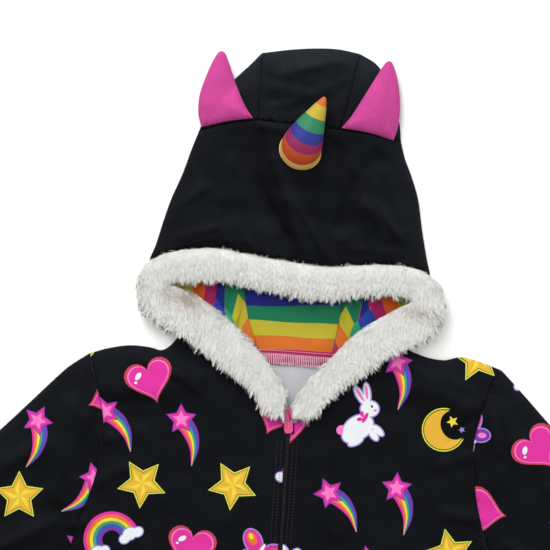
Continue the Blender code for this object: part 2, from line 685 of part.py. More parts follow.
def sleeves():
    """Each sleeve is one tube pressed flat, its rings running along the lower wall and back above."""
    for side in ("left", "right"):
        grid = sleeve_grid(side)
        outer, inner = [], []
        for station in grid:
            span = station[-1] - station[0]
            width = float(np.linalg.norm(span))
            top = UPPER_REST + FLEECE + upper_loft(station, side)
            tucked = station.copy()
            tucked[0] = station[0] + span / width * FLEECE
            tucked[-1] = station[-1] - span / width * FLEECE
            back = list(zip(station[::-1], tucked[::-1], top[::-1]))
            outer.append([(*p, 0.0) for p in station] + [(*p, z) for p, _, z in back])
            inner.append([(*p, FLEECE) for p in tucked] + [(*p, z - FLEECE) for _, p, z in back])
        tube("sleeve_" + side, outer, inner)


def tube(name, outer, inner):
    """An open tube wall between outer and inner rings."""
    count, stations = len(outer[0]), len(outer)
    points = [p for ring in outer for p in ring] + [p for ring in inner for p in ring]
    shift = count * stations
    faces = []
    for k in range(stations - 1):
        for j in range(count):
            a, b = k * count + j, k * count + (j + 1) % count
            faces.append((a, b, b + count, a + count))
            faces.append((a + shift, a + count + shift, b + count + shift, b + shift))
    for k in (0, stations - 1):
        for j in range(count):
            a, b = k * count + j, k * count + (j + 1) % count
            faces.append((a, a + shift, b + shift, b) if k == 0 else (a, b, b + shift, a + shift))
    make_object(name, points, faces, "black_fleece")


def hood_shell():
    loop = outline(
        "fur_seam", "hood_part_right", "-ear_seam_right", "-ear_seam_mid", "-ear_seam_left", "-hood_part_left"
    )
    flat, faces = triangulate(inset(loop), HOOD_STEP)
    floor = hood_floor(flat)
    plate("hood_front", flat, faces, floor, floor + FLEECE, "black_fleece")
    folded_panel(
        "hood_centre",
        ("back_neck_mid", "gusset_low_right", "-hood_top", "-gusset_low_left"),
        ("ear_seam_mid", "gusset_up_right", "-hood_top", "-gusset_up_left"),
        "hood_top",
        "black_fleece",
    )
    folded_panel(
        "hood_side_left",
        ("hood_edge_left", "hood_top_left", "-gusset_low_left", "-back_neck_left"),
        ("ear_seam_left", "gusset_up_left", "-hood_top_left"),
        "hood_top_left",
        "black_fleece",
    )
    folded_panel(
        "hood_side_right",
        ("back_neck_right", "-hood_edge_right", "-hood_top_right", "-gusset_low_right"),
        ("ear_seam_right", "-hood_top_right", "-gusset_up_right"),
        "hood_top_right",
        "black_fleece",
    )


def split_hood_edges():
    """The stretches of the hood's side edges that its front band covers, above the fur."""
    for side, low in (("left", SEAMS["fur_seam"][0]), ("right", SEAMS["fur_seam"][-1])):
        rows = [r for r in SEAMS["hood_edge_" + side] if r[1] > low[1] + 4]
        SEAMS["hood_part_" + side] = [low] + rows if side == "left" else [low] + rows[::-1]


def hood_lining():
    flat_plate(
        "lining_centre",
        outline("lining_neck_mid", "lining_seam_right", "-lining_top", "-lining_seam_left"),
        UPPER_REST, LINING, "rainbow_lining",
    )
    flat_plate(
        "lining_left",
        outline("lining_edge_left", "-lining_seam_left", "-lining_neck_left"),
        UPPER_REST, LINING, "rainbow_lining",
    )
    flat_plate(
        "lining_right",
        outline("lining_neck_right", "-lining_edge_right", "-lining_seam_right"),
        UPPER_REST, LINING, "rainbow_lining",
    )


def fur_trim():
    rings = []
    for row in FUR_TRIM:
        outer, inner = np.array((row.outer_x, row.outer_y)), np.array((row.inner_x, row.inner_y))
        middle, half = (outer + inner) / 2, (outer - inner) / 2
        ring = []
        for k in range(FUR_SIDES):
            angle = 2 * math.pi * k / FUR_SIDES
            flat = middle + half * math.cos(angle)
            ring.append((flat[0], flat[1], row.base + row.height * (1 + math.sin(angle)) / 2))
        rings.append(ring)
    ring_solid("fur_trim", rings, "white_fur")


def ears():
    hood_loop = outline(
        "fur_seam", "hood_part_right", "-hood_top_right", "-hood_top", "-hood_top_left", "-hood_part_left",
        step=FINE_STEP,
    )
    for side in ("left", "right"):
        loop = outline("ear_side_" + side, "ear_base_" + side, step=FINE_STEP)
        flat, faces = triangulate(loop, FINE_STEP)
        over_hood = np.where(inside(flat, hood_loop), hood_floor(flat) + FLEECE + EAR_LIFT, 0)
        reach = distance_to(flat, [np.vstack([loop, loop[:1]])])
        floor = np.maximum(over_hood, EAR_LOW)
        top = floor + EAR_RIM + EAR_LOFT * rounded(reach, EAR_SHOULDER)
        plate("ear_" + side, flat, faces, floor, top, "pink_fleece")


def hood_top_height(x, y):
    return float(hood_floor(np.array([(x, y)]))[0]) + FLEECE


def horn():
    """Rings from a base that follows the hood to a tip that lies over it."""
    seat = hood_top_height(HORN[0].x, HORN[0].y)
    across = Vector((HORN_LEAN.y, -HORN_LEAN.x))
    rings = []
    for row in HORN:
        tilt = math.radians(row.tilt)
        ring = []
        for k in range(HORN_SIDES):
            angle = 2 * math.pi * k / HORN_SIDES
            sideways = row.radius * math.cos(angle)
            forward = row.radius * math.sin(angle) * (HORN_BASE_DEPTH if row.tilt == 0 else 1)
            flat = Vector((row.x, row.y)) + across * sideways + HORN_LEAN * forward * math.cos(tilt)
            if row is HORN[0]:
                z = hood_top_height(flat.x, flat.y) + row.height
            else:
                z = seat + row.height - forward * math.sin(tilt)
            ring.append((flat.x, flat.y, z))
        rings.append(ring)
    ring_solid("horn", rings, "rainbow_satin")


def zip_chain():
    """Both tapes and the closed coil as one strip, in the shape of an upside-down T."""
    rings = []
    floor, tape_top = UPPER_REST, UPPER_REST + TAPE_THICK
    coil_top = tape_top + COIL_HIGH
    for y in np.linspace(TAPE_TOP_Y, ZIP_END_Y, 22):
        x = centre_x(y)
        profile = [
            (-TAPE_HALF, floor), (TAPE_HALF, floor), (TAPE_HALF, tape_top), (COIL_HALF, tape_top),
            (COIL_HALF, coil_top), (-COIL_HALF, coil_top), (-COIL_HALF, tape_top), (-TAPE_HALF, tape_top),
        ]
        rings.append([(x + across, y, z) for across, z in profile])
    ring_solid("zip_chain", rings, "black_tape")


def prism(loop, floor, top):
    """Points and faces of a straight prism on a plan outline."""
    count = len(loop)
    points = [(*p, floor) for p in loop] + [(*p, top) for p in loop]
    faces = [tuple(range(count))[::-1], tuple(range(count, 2 * count))]
    faces += [(k, (k + 1) % count, (k + 1) % count + count, k + count) for k in range(count)]
    return points, faces


def box_loop(x0, x1, y0, y1):
    return [(x0, y0), (x1, y0), (x1, y1), (x0, y1)]


def join_with(target, other, operation):
    """Applies a Boolean and removes the other solid."""
    step = target.modifiers.new(operation.lower(), "BOOLEAN")
    step.object = other
    step.operation = operation
    graph = bpy.context.evaluated_depsgraph_get()
    applied = bpy.data.meshes.new_from_object(target.evaluated_get(graph))
    target.modifiers.clear()
    target.data = applied
    bpy.data.objects.remove(other, do_unlink=True)


def zip_slider():
    """Top plate with a rail down each side of the coil, and the bail that holds the pull tab."""
    nose_y, head_y = SLIDER_MID_Y - SLIDER_LONG / 2, SLIDER_MID_Y + SLIDER_LONG / 2
    middle, plate_top = ZIP_TOP_X, PLATE_FLOOR + PLATE_THICK
    shield = [
        (middle - SLIDER_NOSE_HALF, nose_y), (middle + SLIDER_NOSE_HALF, nose_y),
        (middle + SLIDER_HALF, nose_y + 3.5), (middle + SLIDER_HALF, head_y - 2.5),
        (middle + SLIDER_NOSE_HALF, head_y), (middle - SLIDER_NOSE_HALF, head_y),
        (middle - SLIDER_HALF, head_y - 2.5), (middle - SLIDER_HALF, nose_y + 3.5),
    ]
    slider = make_object("zip_slider", *prism(shield, PLATE_FLOOR, plate_top), "pink_enamel", smooth=False)
    for sign in (-1, 1):
        inner, outer = middle + sign * RAIL_INNER, middle + sign * (SLIDER_HALF - 0.05)
        rail = box_loop(min(inner, outer), max(inner, outer), nose_y + 3.6, head_y - 2.6)
        added = make_object("rail", *prism(rail, RAIL_FLOOR, plate_top - 0.2), "pink_enamel", smooth=False)
        join_with(slider, added, "UNION")
        leg_y = HINGE_Y + sign * BAIL_REACH
        leg = box_loop(
            middle - BAIL_HALF_WIDE, middle + BAIL_HALF_WIDE, leg_y - BAIL_BAR / 2, leg_y + BAIL_BAR / 2
        )
        post = prism(leg, plate_top - 0.5, plate_top + BAIL_HIGH - 0.1)
        added = make_object("leg", *post, "pink_enamel", smooth=False)
        join_with(slider, added, "UNION")
    reach = BAIL_REACH + BAIL_BAR / 2
    half = BAIL_HALF_WIDE - 0.02
    bar = box_loop(middle - half, middle + half, HINGE_Y - reach, HINGE_Y + reach)
    crossbar = prism(bar, plate_top + BAIL_HIGH - BAIL_BAR, plate_top + BAIL_HIGH)
    added = make_object("bar", *crossbar, "pink_enamel", smooth=False)
    join_with(slider, added, "UNION")


def zip_pull():
    """The tab, which turns on its own cross bar under the bail."""
    middle, foot = ZIP_TOP_X, HINGE_Y - TAB_THICK / 2
    tip = HINGE_Y + TAB_LONG
    tab = [
        (middle - TAB_HALF, foot), (middle + TAB_HALF, foot),
        (middle + TAB_HALF, HINGE_Y + WINDOW_LONG + 2), (middle + TAB_TIP_HALF, tip - 1.5),
        (middle + TAB_TIP_HALF - 1.2, tip), (middle - TAB_TIP_HALF + 1.2, tip),
        (middle - TAB_TIP_HALF, tip - 1.5), (middle - TAB_HALF, HINGE_Y + WINDOW_LONG + 2),
    ]
    floor, top = HINGE_Z - TAB_THICK / 2, HINGE_Z + TAB_THICK / 2
    pull = make_object("zip_pull", *prism(tab, floor, top), "pink_enamel", smooth=False)
    hole = box_loop(middle - WINDOW_HALF, middle + WINDOW_HALF, HINGE_Y + TAB_THICK / 2, HINGE_Y + WINDOW_LONG)
    cutter = make_object("window", *prism(hole, floor - 1, top + 1), "pink_enamel", smooth=False)
    join_with(pull, cutter, "DIFFERENCE")


def main():
    remove_old_objects()
    add_body_seams()
    split_hood_edges()
    back_panels()
    front_panels()
    sleeves()
    hood_shell()
    hood_lining()
    fur_trim()
    ears()
    horn()
    zip_chain()
    zip_slider()
    zip_pull()


main()
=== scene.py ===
# Hooded onesie, laid flat on its back and seen from straight above.
# Plans and heights are in millimetres in the cutter's frame: x across from the top of the zip,
# y up towards the hood, z up from the surface that it lies on. place() turns them into metres.
import math
import random

import bmesh
import bpy
import numpy as np
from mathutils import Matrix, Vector
from mathutils.geometry import delaunay_2d_cdt
from mathutils.kdtree import KDTree


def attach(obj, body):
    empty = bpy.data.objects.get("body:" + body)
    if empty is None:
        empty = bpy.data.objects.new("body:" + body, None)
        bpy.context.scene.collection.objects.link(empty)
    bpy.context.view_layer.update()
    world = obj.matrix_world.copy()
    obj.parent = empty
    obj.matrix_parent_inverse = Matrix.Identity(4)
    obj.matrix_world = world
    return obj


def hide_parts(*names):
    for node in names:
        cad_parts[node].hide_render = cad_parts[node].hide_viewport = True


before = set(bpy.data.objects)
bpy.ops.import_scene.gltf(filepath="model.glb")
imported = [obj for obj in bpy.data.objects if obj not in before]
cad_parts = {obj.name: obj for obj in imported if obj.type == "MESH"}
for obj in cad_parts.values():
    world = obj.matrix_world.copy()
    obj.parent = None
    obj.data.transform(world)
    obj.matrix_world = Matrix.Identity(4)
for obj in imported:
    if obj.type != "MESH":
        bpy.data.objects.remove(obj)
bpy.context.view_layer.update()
scene = bpy.context.scene
print("frame loaded:", len(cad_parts), "solids")

mm = 0.001
middle = (-17.0, -368.0)  # where the frame's origin lies in the cutter's frame

# Heights of the layers; the solids' own source has the same ones
layers = {
    "fleece": 1.6,       # thickness of the cloth
    "lining": 1.2,
    "seamGap": 0.3,
    "upperRest": 1.9,    # underside of the upper cloth where it meets the lower one
    "bodyLoft": 6.5,     # how far the front stands off the back
    "bodyRim": 17.0,
    "hoodLoft": 14.0,
    "hoodRim": 15.0,
    "zipRim": 14.0,
    "foldFade": 12.0,
    "tape": 0.7,
}
# soft unevenness of each cloth: depth and size in mm, and seed
unevenness = {
    "body": [(0.55, 46, 11), (0.22, 19, 12)],
    "hood": [(0.5, 40, 21), (0.2, 17, 22)],
    "lining": [(0.35, 30, 31)],
}
axisX = -18.0
waistY, crotchY, hemY = -330.0, -612.0, -1112.0
zipEndY = -520.0
slotHalf = 2.15
slotTopY = -9.5

# The front opening and the seam below it lean a little, as the garment was laid
centreLine = [
    (-1.5, 0.0), (-10.0, -125.0), (-16.0, -300.0), (-18.0, -500.0), (-18.0, crotchY),
]

# Height, and distances from the axis to the side seam and to the inseam
lowerBody = [
    (-230.0, 203.0, None), (waistY, 198.0, None), (-440.0, 206.0, None), (-540.0, 218.0, None),
    (crotchY, 217.0, 0.0), (-680.0, 211.0, 8.0), (-800.0, 197.0, 18.0), (-960.0, 172.0, 26.0),
    (hemY, 150.0, 32.0),
]

# Seams and edges that neighbouring pieces share
seams = {
    "neck_left": [(-7, 0), (-16, 14), (-27, 30), (-44, 46), (-62, 60), (-80, 74), (-96, 86), (-108, 94)],
    "neck_right": [(4, 0), (14, 12), (26, 28), (40, 42), (58, 56), (76, 68), (92, 77), (106, 83)],
    "shoulder_left": [
        (-108, 94), (-114, 86), (-121, 78.5), (-129, 75), (-140, 78), (-160, 80), (-182, 77), (-200, 72),
    ],
    "shoulder_right": [
        (106, 83), (117, 76), (128, 71), (140, 67), (155, 65), (172, 68), (193, 62), (211, 55),
    ],
    "armhole_left": [
        (-200, 72), (-197, 57), (-187, 12), (-188, -20), (-196, -57), (-211, -96), (-226, -140),
    ],
    "armhole_right": [
        (211, 55), (202, 40), (190, 8), (183, -20), (183, -50), (189, -92), (203, -145),
    ],
    "back_neck_left": [(-108, 94), (-80, 78), (-50, 66), (-28, 61)],
    "back_neck_mid": [(-28, 61), (6, 59), (40, 60)],
    "back_neck_right": [(40, 60), (74, 70), (106, 83)],
    "sleeve_top_left": [
        (-200, 72), (-219, 60), (-231, 50), (-263, 20), (-290, -5), (-420, -124), (-562, -254),
    ],
    "sleeve_under_left": [(-226, -140), (-300, -196), (-390, -260), (-488, -334)],
    "sleeve_top_right": [
        (211, 55), (222, 43), (238, 25), (257, 3), (350, -104), (440, -207), (528, -306),
    ],
    "sleeve_under_right": [(203, -145), (280, -218), (365, -298), (449, -377)],
    "hood_edge_left": [
        (-108, 94), (-126, 103), (-138, 118), (-143, 138), (-141, 163), (-134, 181),
        (-126, 206), (-118, 228), (-108, 250), (-98, 277), (-91, 294),
    ],
    "hood_top_left": [(-91, 294), (-80, 318), (-58, 343), (-40, 360), (-28, 372)],
    "hood_top": [(-28, 372), (10, 376), (45, 376), (70, 371)],
    "hood_top_right": [(70, 371), (88, 359), (101, 335), (109, 305), (111, 283)],
    "hood_edge_right": [
        (111, 283), (115, 266), (121, 250), (128, 226), (132, 195),
        (136, 170), (140, 150), (141, 130), (136, 108), (124, 92), (106, 83),
    ],
    "ear_seam_left": [(-91, 294), (-60, 301), (-32, 304)],
    "ear_seam_mid": [(-32, 304), (-15, 302), (20, 298), (50, 294.5)],
    "ear_seam_right": [(50, 294.5), (80, 290), (111, 283)],
    "gusset_up_left": [(-32, 304), (-30, 340), (-28, 372)],
    "gusset_up_right": [(50, 294.5), (60, 330), (70, 371)],
    "gusset_low_left": [(-28, 61), (-45, 130), (-44, 250), (-28, 372)],
    "gusset_low_right": [(40, 60), (53, 130), (62, 250), (70, 371)],
    "fur_seam": [
        (-140.5, 164.5), (-124, 171.5), (-100, 176), (-70, 176.5), (-35, 169.5),
        (0, 163.5), (36, 158.5), (72, 160), (105, 160), (128, 155.5), (138.5, 151),
    ],
    "lining_neck_left": [(-98, 91), (-80, 78), (-58, 67.5), (-43, 64.3), (-28, 63)],
    "lining_neck_mid": [(-28, 63), (6, 61), (40, 62)],
    "lining_neck_right": [(40, 62), (72, 72), (98, 83)],
    "lining_edge_left": [
        (-98, 91), (-116, 102), (-128, 126), (-127, 160), (-117, 190),
        (-104, 220), (-87, 258), (-76, 290), (-50, 330), (-30, 356),
    ],
    "lining_edge_right": [
        (67, 352), (84, 335), (96, 300), (104, 255), (112, 215),
        (119, 180), (126, 150), (127, 128), (118, 101), (98, 83),
    ],
    "lining_top": [(-30, 356), (10, 362), (40, 361), (67, 352)],
    "lining_seam_left": [(-28, 63), (-45, 130), (-44, 250), (-30, 356)],
    "lining_seam_right": [(40, 62), (53, 130), (62, 250), (67, 352)],
    "ear_side_left": [
        (-37, 306), (-45, 319), (-53, 338), (-61, 362), (-65, 371.5), (-70, 373),
        (-76, 365), (-83, 350), (-90, 330), (-91.5, 312), (-88.5, 297.5),
    ],
    "ear_base_left": [(-88.5, 297.5), (-62, 303), (-37, 306)],
    "ear_side_right": [
        (103, 284), (107, 295), (109.5, 312), (109, 332), (106, 350), (101.5, 362), (96.5, 362.5),
        (90, 354), (75, 330), (61, 308), (51, 296),
    ],
    "ear_base_right": [(51, 296), (78, 291.5), (103, 284)],
}
silhouetteSeams = ("neck_", "shoulder_", "side_up_", "side_low_", "inseam_", "sleeve_top_", "sleeve_under_")
straightSeams = {"notch_left", "notch_right", "hem_left", "hem_right", "waist_left", "waist_right", "seat"}

# Soft folds: x0, y0, x1, y1, width and height of each ridge, or of a trough where the height is negative
hoodFolds = [
    (-38, 285, -28, 210, 12, -2.0), (-15, 262, 13, 178, 11, 2.6), (-34, 228, -4, 184, 9, -2.2),
    (33, 262, 36, 172, 9, 2.2), (47, 275, 44, 170, 6, -2.6), (88, 265, 54, 200, 10, -3.0),
    (76, 219, 108, 190, 8, 2.6), (-118, 210, -92, 238, 8, 2.0), (-108, 184, -58, 194, 9, 1.8),
    (-4, 352, 52, 366, 8, 2.2), (-18, 326, 12, 318, 9, -1.8),
]
bodyFolds = [
    (-124, 66, -92, 46, 8, 2.6), (-180, 40, -118, 38, 11, 2.0), (-176, 4, -104, 14, 12, -1.6),
    (126, 44, 178, 18, 12, 2.2), (-60, -70, -120, -250, 20, 2.2), (70, -90, 120, -280, 20, 2.0),
    (-200, -250, -90, -300, 16, 2.6), (150, -290, 60, -330, 16, 2.4), (-190, -420, -70, -470, 18, 2.2),
    (160, -440, 40, -490, 18, 2.6), (-40, -590, -190, -540, 16, 3.0), (4, -590, 150, -550, 16, 3.0),
    (-60, -650, -170, -720, 18, 2.6), (24, -640, 130, -730, 18, 2.4), (-70, -820, -170, -850, 16, 2.2),
    (30, -850, 120, -880, 16, 2.4), (-80, -980, -140, -1060, 14, 2.0), (50, -960, 96, -1050, 14, 2.2),
    (-216, 20, -232, -70, 9, 3.0), (-250, -20, -330, -60, 12, 2.4), (-258, -110, -350, -150, 14, 2.6),
    (-390, -130, -440, -230, 12, 2.6), (206, 10, 196, -70, 8, 3.2), (232, -20, 300, -90, 12, 2.2),
    (240, -140, 330, -160, 14, 2.6), (370, -160, 400, -270, 12, 2.6),
]

# The fur band: outer x and y, inner x and y, base and height, from the zip's left side round the face
furRows = [
    (-7.0, 5.0, -7.0, 22.0, 6.6, 15), (-27, 10.5, -6.2, 35, 6.6, 17), (-38, 28.5, -15, 51, 6.6, 18),
    (-53, 43, -27, 68, 6.6, 19), (-70, 56.5, -41, 85, 6.6, 20), (-87, 70.5, -58, 102, 6.6, 20),
    (-104, 84.5, -76, 116.5, 6.6, 20), (-121.5, 94, -92, 128.5, 6.6, 20), (-137, 105, -105, 137, 7, 20),
    (-147, 116, -113, 142, 7.5, 20), (-151, 132, -116, 143.5, 8, 19.5),
    (-148.5, 150, -115.5, 144, 8, 19.5), (-139, 164, -112, 143.5, 8.5, 19),
    (-122, 171.5, -105, 142, 9, 18.5), (-100, 175.5, -93, 140.5, 9, 18.5),
    (-70, 176, -66, 140.5, 9, 18.5), (-35, 169, -37, 134.5, 9, 18.5), (0, 163, -2, 127, 9, 18.5),
    (36, 158, 33, 122, 9, 18.5), (72, 159.5, 69, 126, 9, 18.5), (105, 159.5, 99, 126.5, 9, 18.5),
    (128, 155, 112, 126, 9, 18.5), (143, 147, 117, 125, 8.5, 19), (153, 134, 118, 123.5, 8, 19),
    (156, 116, 114, 121, 7.5, 20), (151, 100, 104.5, 115.5, 7, 20), (140, 87.5, 92, 108.5, 6.6, 20),
    (122, 77.5, 79, 101, 6.6, 20), (102, 68, 65.5, 91, 6.6, 20), (84, 56, 53, 79, 6.6, 19),
    (66, 43, 40.5, 66, 6.6, 19), (48.5, 31, 26, 52, 6.6, 18), (35.5, 17.5, 13.5, 37, 6.6, 18),
    (23.5, 6.5, 7.5, 24, 6.6, 16), (4.2, 5.0, 4.2, 18, 6.6, 15),
]

# The stuffed horn: x, y, height, radius and tilt from its seam on the hood to its tip
hornRows = [
    (10.0, 273.5, 0.8, 20.5, 0), (11.0, 277.0, 7.4, 20.3, 18), (14.0, 284.0, 13.9, 19.0, 42),
    (20.0, 297.0, 15.4, 14.8, 66), (26.0, 309.0, 14.8, 9.8, 76), (31.0, 319.0, 13.4, 5.5, 80),
    (34.3, 326.0, 12.6, 1.6, 80),
]
hornLean = (0.42, 0.9075)
hornBaseDepth = 0.86  # the seam's depth along the lean, over its width across it

# Finer creases on top of the folds, in the same terms; the body's are cut this much deeper than they say
bodyCreaseDepth = 1.7
bodyCreases = [
    (-122, 58, -92, 34, 3.2, 1.5), (-150, 66, -112, 50, 4.0, 1.2), (-178, 22, -132, 24, 4.0, -0.9),
    (-186, -14, -150, -6, 3.6, 0.9), (-200, -60, -160, -40, 4.5, 1.0),
    (-214, -100, -168, -92, 4.5, 1.1), (-192, 40, -206, -6, 3.0, 1.3), (-204, 10, -222, -44, 3.4, 1.2),
    (-232, 30, -262, -16, 4.0, -1.0), (-268, -30, -318, -66, 4.5, 1.0),
    (-236, -96, -290, -122, 4.0, 1.0), (118, 60, 150, 42, 3.4, 1.4), (150, 52, 182, 34, 3.6, 1.2),
    (186, 12, 160, -16, 3.8, -1.0), (182, -30, 148, -40, 4.0, 0.9), (196, -96, 156, -88, 4.5, 1.1),
    (196, 26, 208, -30, 3.0, 1.4), (214, 20, 226, -40, 3.4, 1.1), (234, 0, 262, -52, 4.2, -0.9),
    (254, -60, 306, -104, 4.5, 1.0), (216, -120, 268, -150, 4.0, 1.0), (-40, -20, -58, -96, 5.0, 0.8),
    (26, -30, 44, -110, 5.0, 0.8), (-150, -120, -96, -180, 6.0, 0.9), (130, -130, 88, -200, 6.0, 0.9),
]
hoodCreases = [
    (-56, 268, -76, 196, 5.0, 1.2), (-92, 262, -112, 196, 5.0, -0.9), (4, 258, -12, 190, 4.0, 1.1),
    (22, 250, 18, 182, 3.6, -1.0), (62, 262, 78, 196, 5.0, 1.1), (96, 250, 112, 206, 4.5, 1.1),
    (-30, 300, -6, 292, 4.0, 1.2), (24, 330, 56, 344, 4.0, 1.1), (-20, 346, 20, 336, 5.0, -0.9),
    (-74, 318, -48, 336, 4.0, 1.0), (84, 318, 74, 344, 4.0, 1.0), (-84, 186, -40, 182, 4.0, 0.9),
    (60, 176, 110, 172, 4.0, 0.9), (-117, 215, -83, 238, 3.6, 1.4), (-113, 188, -73, 198, 4.0, 1.2),
    (-53, 205, -40, 178, 3.6, 1.1), (-27, 298, -17, 265, 4.0, 1.3), (-17, 265, -3, 225, 4.0, 1.4),
    (-3, 225, 10, 178, 4.0, 1.3), (-32, 242, -3, 188, 4.6, -1.4), (3, 225, 37, 168, 3.4, 1.2),
    (63, 245, 47, 198, 5.0, -1.4), (83, 255, 63, 225, 3.8, 1.3), (63, 225, 50, 185, 3.8, 1.3),
    (83, 225, 107, 188, 3.2, 1.3), (77, 218, 97, 185, 3.2, 1.0), (10, 355, 63, 368, 4.2, 1.3),
    (-17, 318, 7, 322, 4.2, 1.2), (20, 312, 44, 326, 4.2, -1.2), (-50, 345, -33, 358, 3.2, 1.1),
]


# Curves and outlines


def centreX(y):
    rows = centreLine[::-1]
    return float(np.interp(y, [r[1] for r in rows], [r[0] for r in rows]))


def addBodySeams():
    # side seams, inseams, waist, hems and front edges, from the axis and the table of the lower body
    for side, sign in (("left", -1), ("right", 1)):
        rows = [(axisX + sign * r[1], r[0]) for r in lowerBody]
        waist = [r[0] for r in lowerBody].index(waistY)
        inseam = [(axisX + sign * r[2], r[0]) for r in lowerBody if r[2] is not None]
        seams["side_up_" + side] = [seams["armhole_" + side][-1]] + rows[: waist + 1]
        seams["side_low_" + side] = rows[waist:]
        seams["inseam_" + side] = inseam
        seams["hem_" + side] = [rows[-1], inseam[-1]]
        seams["waist_" + side] = [rows[waist], (axisX, waistY)]
        neck = seams["neck_" + side][0]
        slotTop = (centreX(slotTopY) + sign * slotHalf, slotTopY)
        seams["notch_" + side] = [slotTop, (neck[0], slotTopY + 1), neck]
        opening = [(centreX(y) + sign * slotHalf, y) for y in np.linspace(slotTopY, zipEndY - 3, 20)]
        closed = [(centreX(y), y) for y in np.linspace(zipEndY - 11, crotchY, 5)]
        seams["front_edge_" + side] = opening + closed
        straightSeams.add("front_edge_" + side)
        # the part of the hood's edge that lies above the fur
        low = seams["fur_seam"][0 if side == "left" else -1]
        above = [r for r in seams["hood_edge_" + side] if r[1] > low[1] + 4]
        seams["hood_part_" + side] = [low] + (above if side == "left" else above[::-1])
    seams["seat"] = [(axisX, waistY), (axisX, crotchY)]


def smoothLine(rows, step):
    # points along a Catmull-Rom curve through the rows, of any dimension
    points = [np.array(r, float) for r in rows]
    ahead = [2 * points[0] - points[1]] + points + [2 * points[-1] - points[-2]]
    found = []
    for p0, p1, p2, p3 in zip(ahead, ahead[1:], ahead[2:], ahead[3:]):
        count = max(1, round(float(np.linalg.norm(p2 - p1)) / step))
        for k in range(count):
            t = k / count
            bend = (p2 - p0) * t + (2 * p0 - 5 * p1 + 4 * p2 - p3) * t**2
            found.append(0.5 * (2 * p1 + bend + (3 * p1 - p0 - 3 * p2 + p3) * t**3))
    return found + [points[-1]]


def straightLine(rows, step):
    points = [np.array(r, float) for r in rows]
    found = []
    for a, b in zip(points, points[1:]):
        count = max(1, round(float(np.linalg.norm(b - a)) / step))
        found += [a + (b - a) * k / count for k in range(count)]
    return found + [points[-1]]


def seamLine(name, step):
    # a leading minus runs the seam backwards
    plain = name.lstrip("-")
    points = (straightLine if plain in straightSeams else smoothLine)(seams[plain], step)
    return points[::-1] if name.startswith("-") else points


def outline(names, step=4.0):
    # the closed plan made by these seams end to end, anticlockwise
    points = []
    for name in names:
        points += seamLine(name, step)[:-1]
    return anticlockwise(np.array(points))


def ringed(loop):
    # the outline with its first point again at its end
    return np.vstack([loop, loop[:1]])


def planArea(loop):
    after = np.roll(loop, -1, axis=0)
    return float((loop[:, 0] * after[:, 1] - loop[:, 1] * after[:, 0]).sum()) / 2


def anticlockwise(loop):
    return loop[::-1].copy() if planArea(loop) < 0 else loop


def movedLeft(points, before, after, amount):
    leftIn, leftOut = [np.stack([-run[:, 1], run[:, 0]], 1) for run in (points - before, after - points)]
    leftIn /= np.maximum(np.linalg.norm(leftIn, axis=1), 1e-9)[:, None]
    leftOut /= np.maximum(np.linalg.norm(leftOut, axis=1), 1e-9)[:, None]
    between = leftIn + leftOut
    between /= np.maximum(np.linalg.norm(between, axis=1), 1e-9)[:, None]
    share = np.maximum((between * leftIn).sum(1), 0.5)
    return points + between * (amount / share)[:, None]


def inset(loop, amount):
    return movedLeft(loop, np.roll(loop, 1, axis=0), np.roll(loop, -1, axis=0), amount)


def beside(line, amount):
    line = np.array(line)
    before = np.vstack([2 * line[:1] - line[1:2], line[:-1]])
    after = np.vstack([line[1:], 2 * line[-1:] - line[-2:-1]])
    return movedLeft(line, before, after, amount)


def distanceTo(points, lines):
    points = np.atleast_2d(points)
    best = np.full(len(points), 1e18)
    for line in lines:
        line = np.array(line)
        for a, b in zip(line, line[1:]):
            run = b - a
            offset = points - a
            along = np.clip((offset @ run) / max(float(run @ run), 1e-9), 0, 1)
            gap = offset - along[:, None] * run
            best = np.minimum(best, gap[:, 0] ** 2 + gap[:, 1] ** 2)
    return np.sqrt(best)


def inside(points, loop):
    found = np.zeros(len(points), bool)
    for a, b in zip(loop, np.roll(loop, -1, axis=0)):
        rise = b[1] - a[1]
        if rise == 0:
            continue
        crosses = (a[1] > points[:, 1]) != (b[1] > points[:, 1])
        found ^= crosses & (points[:, 0] < a[0] + (points[:, 1] - a[1]) * (b[0] - a[0]) / rise)
    return found


def evenly(points, count):
    points = np.array(points)
    run = np.concatenate([[0], np.cumsum(np.linalg.norm(np.diff(points, axis=0), axis=1))])
    at = np.linspace(0, run[-1], count)
    return np.stack([np.interp(at, run, points[:, k]) for k in range(points.shape[1])], 1)


# Heights of the upper cloth


def waves(points, wavelength, seed):
    # smooth unevenness between about -1 and 1, from a few plane waves
    draw = random.Random(seed)
    total = np.zeros(len(points))
    for _ in range(7):
        angle = draw.uniform(0, 2 * math.pi)
        length = wavelength * draw.uniform(0.7, 1.5)
        phase = draw.uniform(0, 2 * math.pi)
        along = points[:, 0] * math.cos(angle) + points[:, 1] * math.sin(angle)
        total += np.sin(along * 2 * math.pi / length + phase)
    return total / 3.2


def uneven(points, cloth):
    return sum(depth * waves(points, size, seed) for depth, size, seed in unevenness[cloth])


def foldHeight(points, folds):
    total = np.zeros(len(points))
    for x0, y0, x1, y1, width, height in folds:
        total += height * np.exp(-((distanceTo(points, [[(x0, y0), (x1, y1)]]) / width) ** 2))
    return total


def rounded(distance, rim):
    return 1 - np.exp(-distance / rim)


def zipLift(points):
    across = np.abs(points[:, 0] - np.array([centreX(y) for y in points[:, 1]]))
    share = np.clip((30 - across) / 12, 0, 1)
    return (layers["tape"] + layers["seamGap"]) * share * (points[:, 1] > zipEndY - 12)


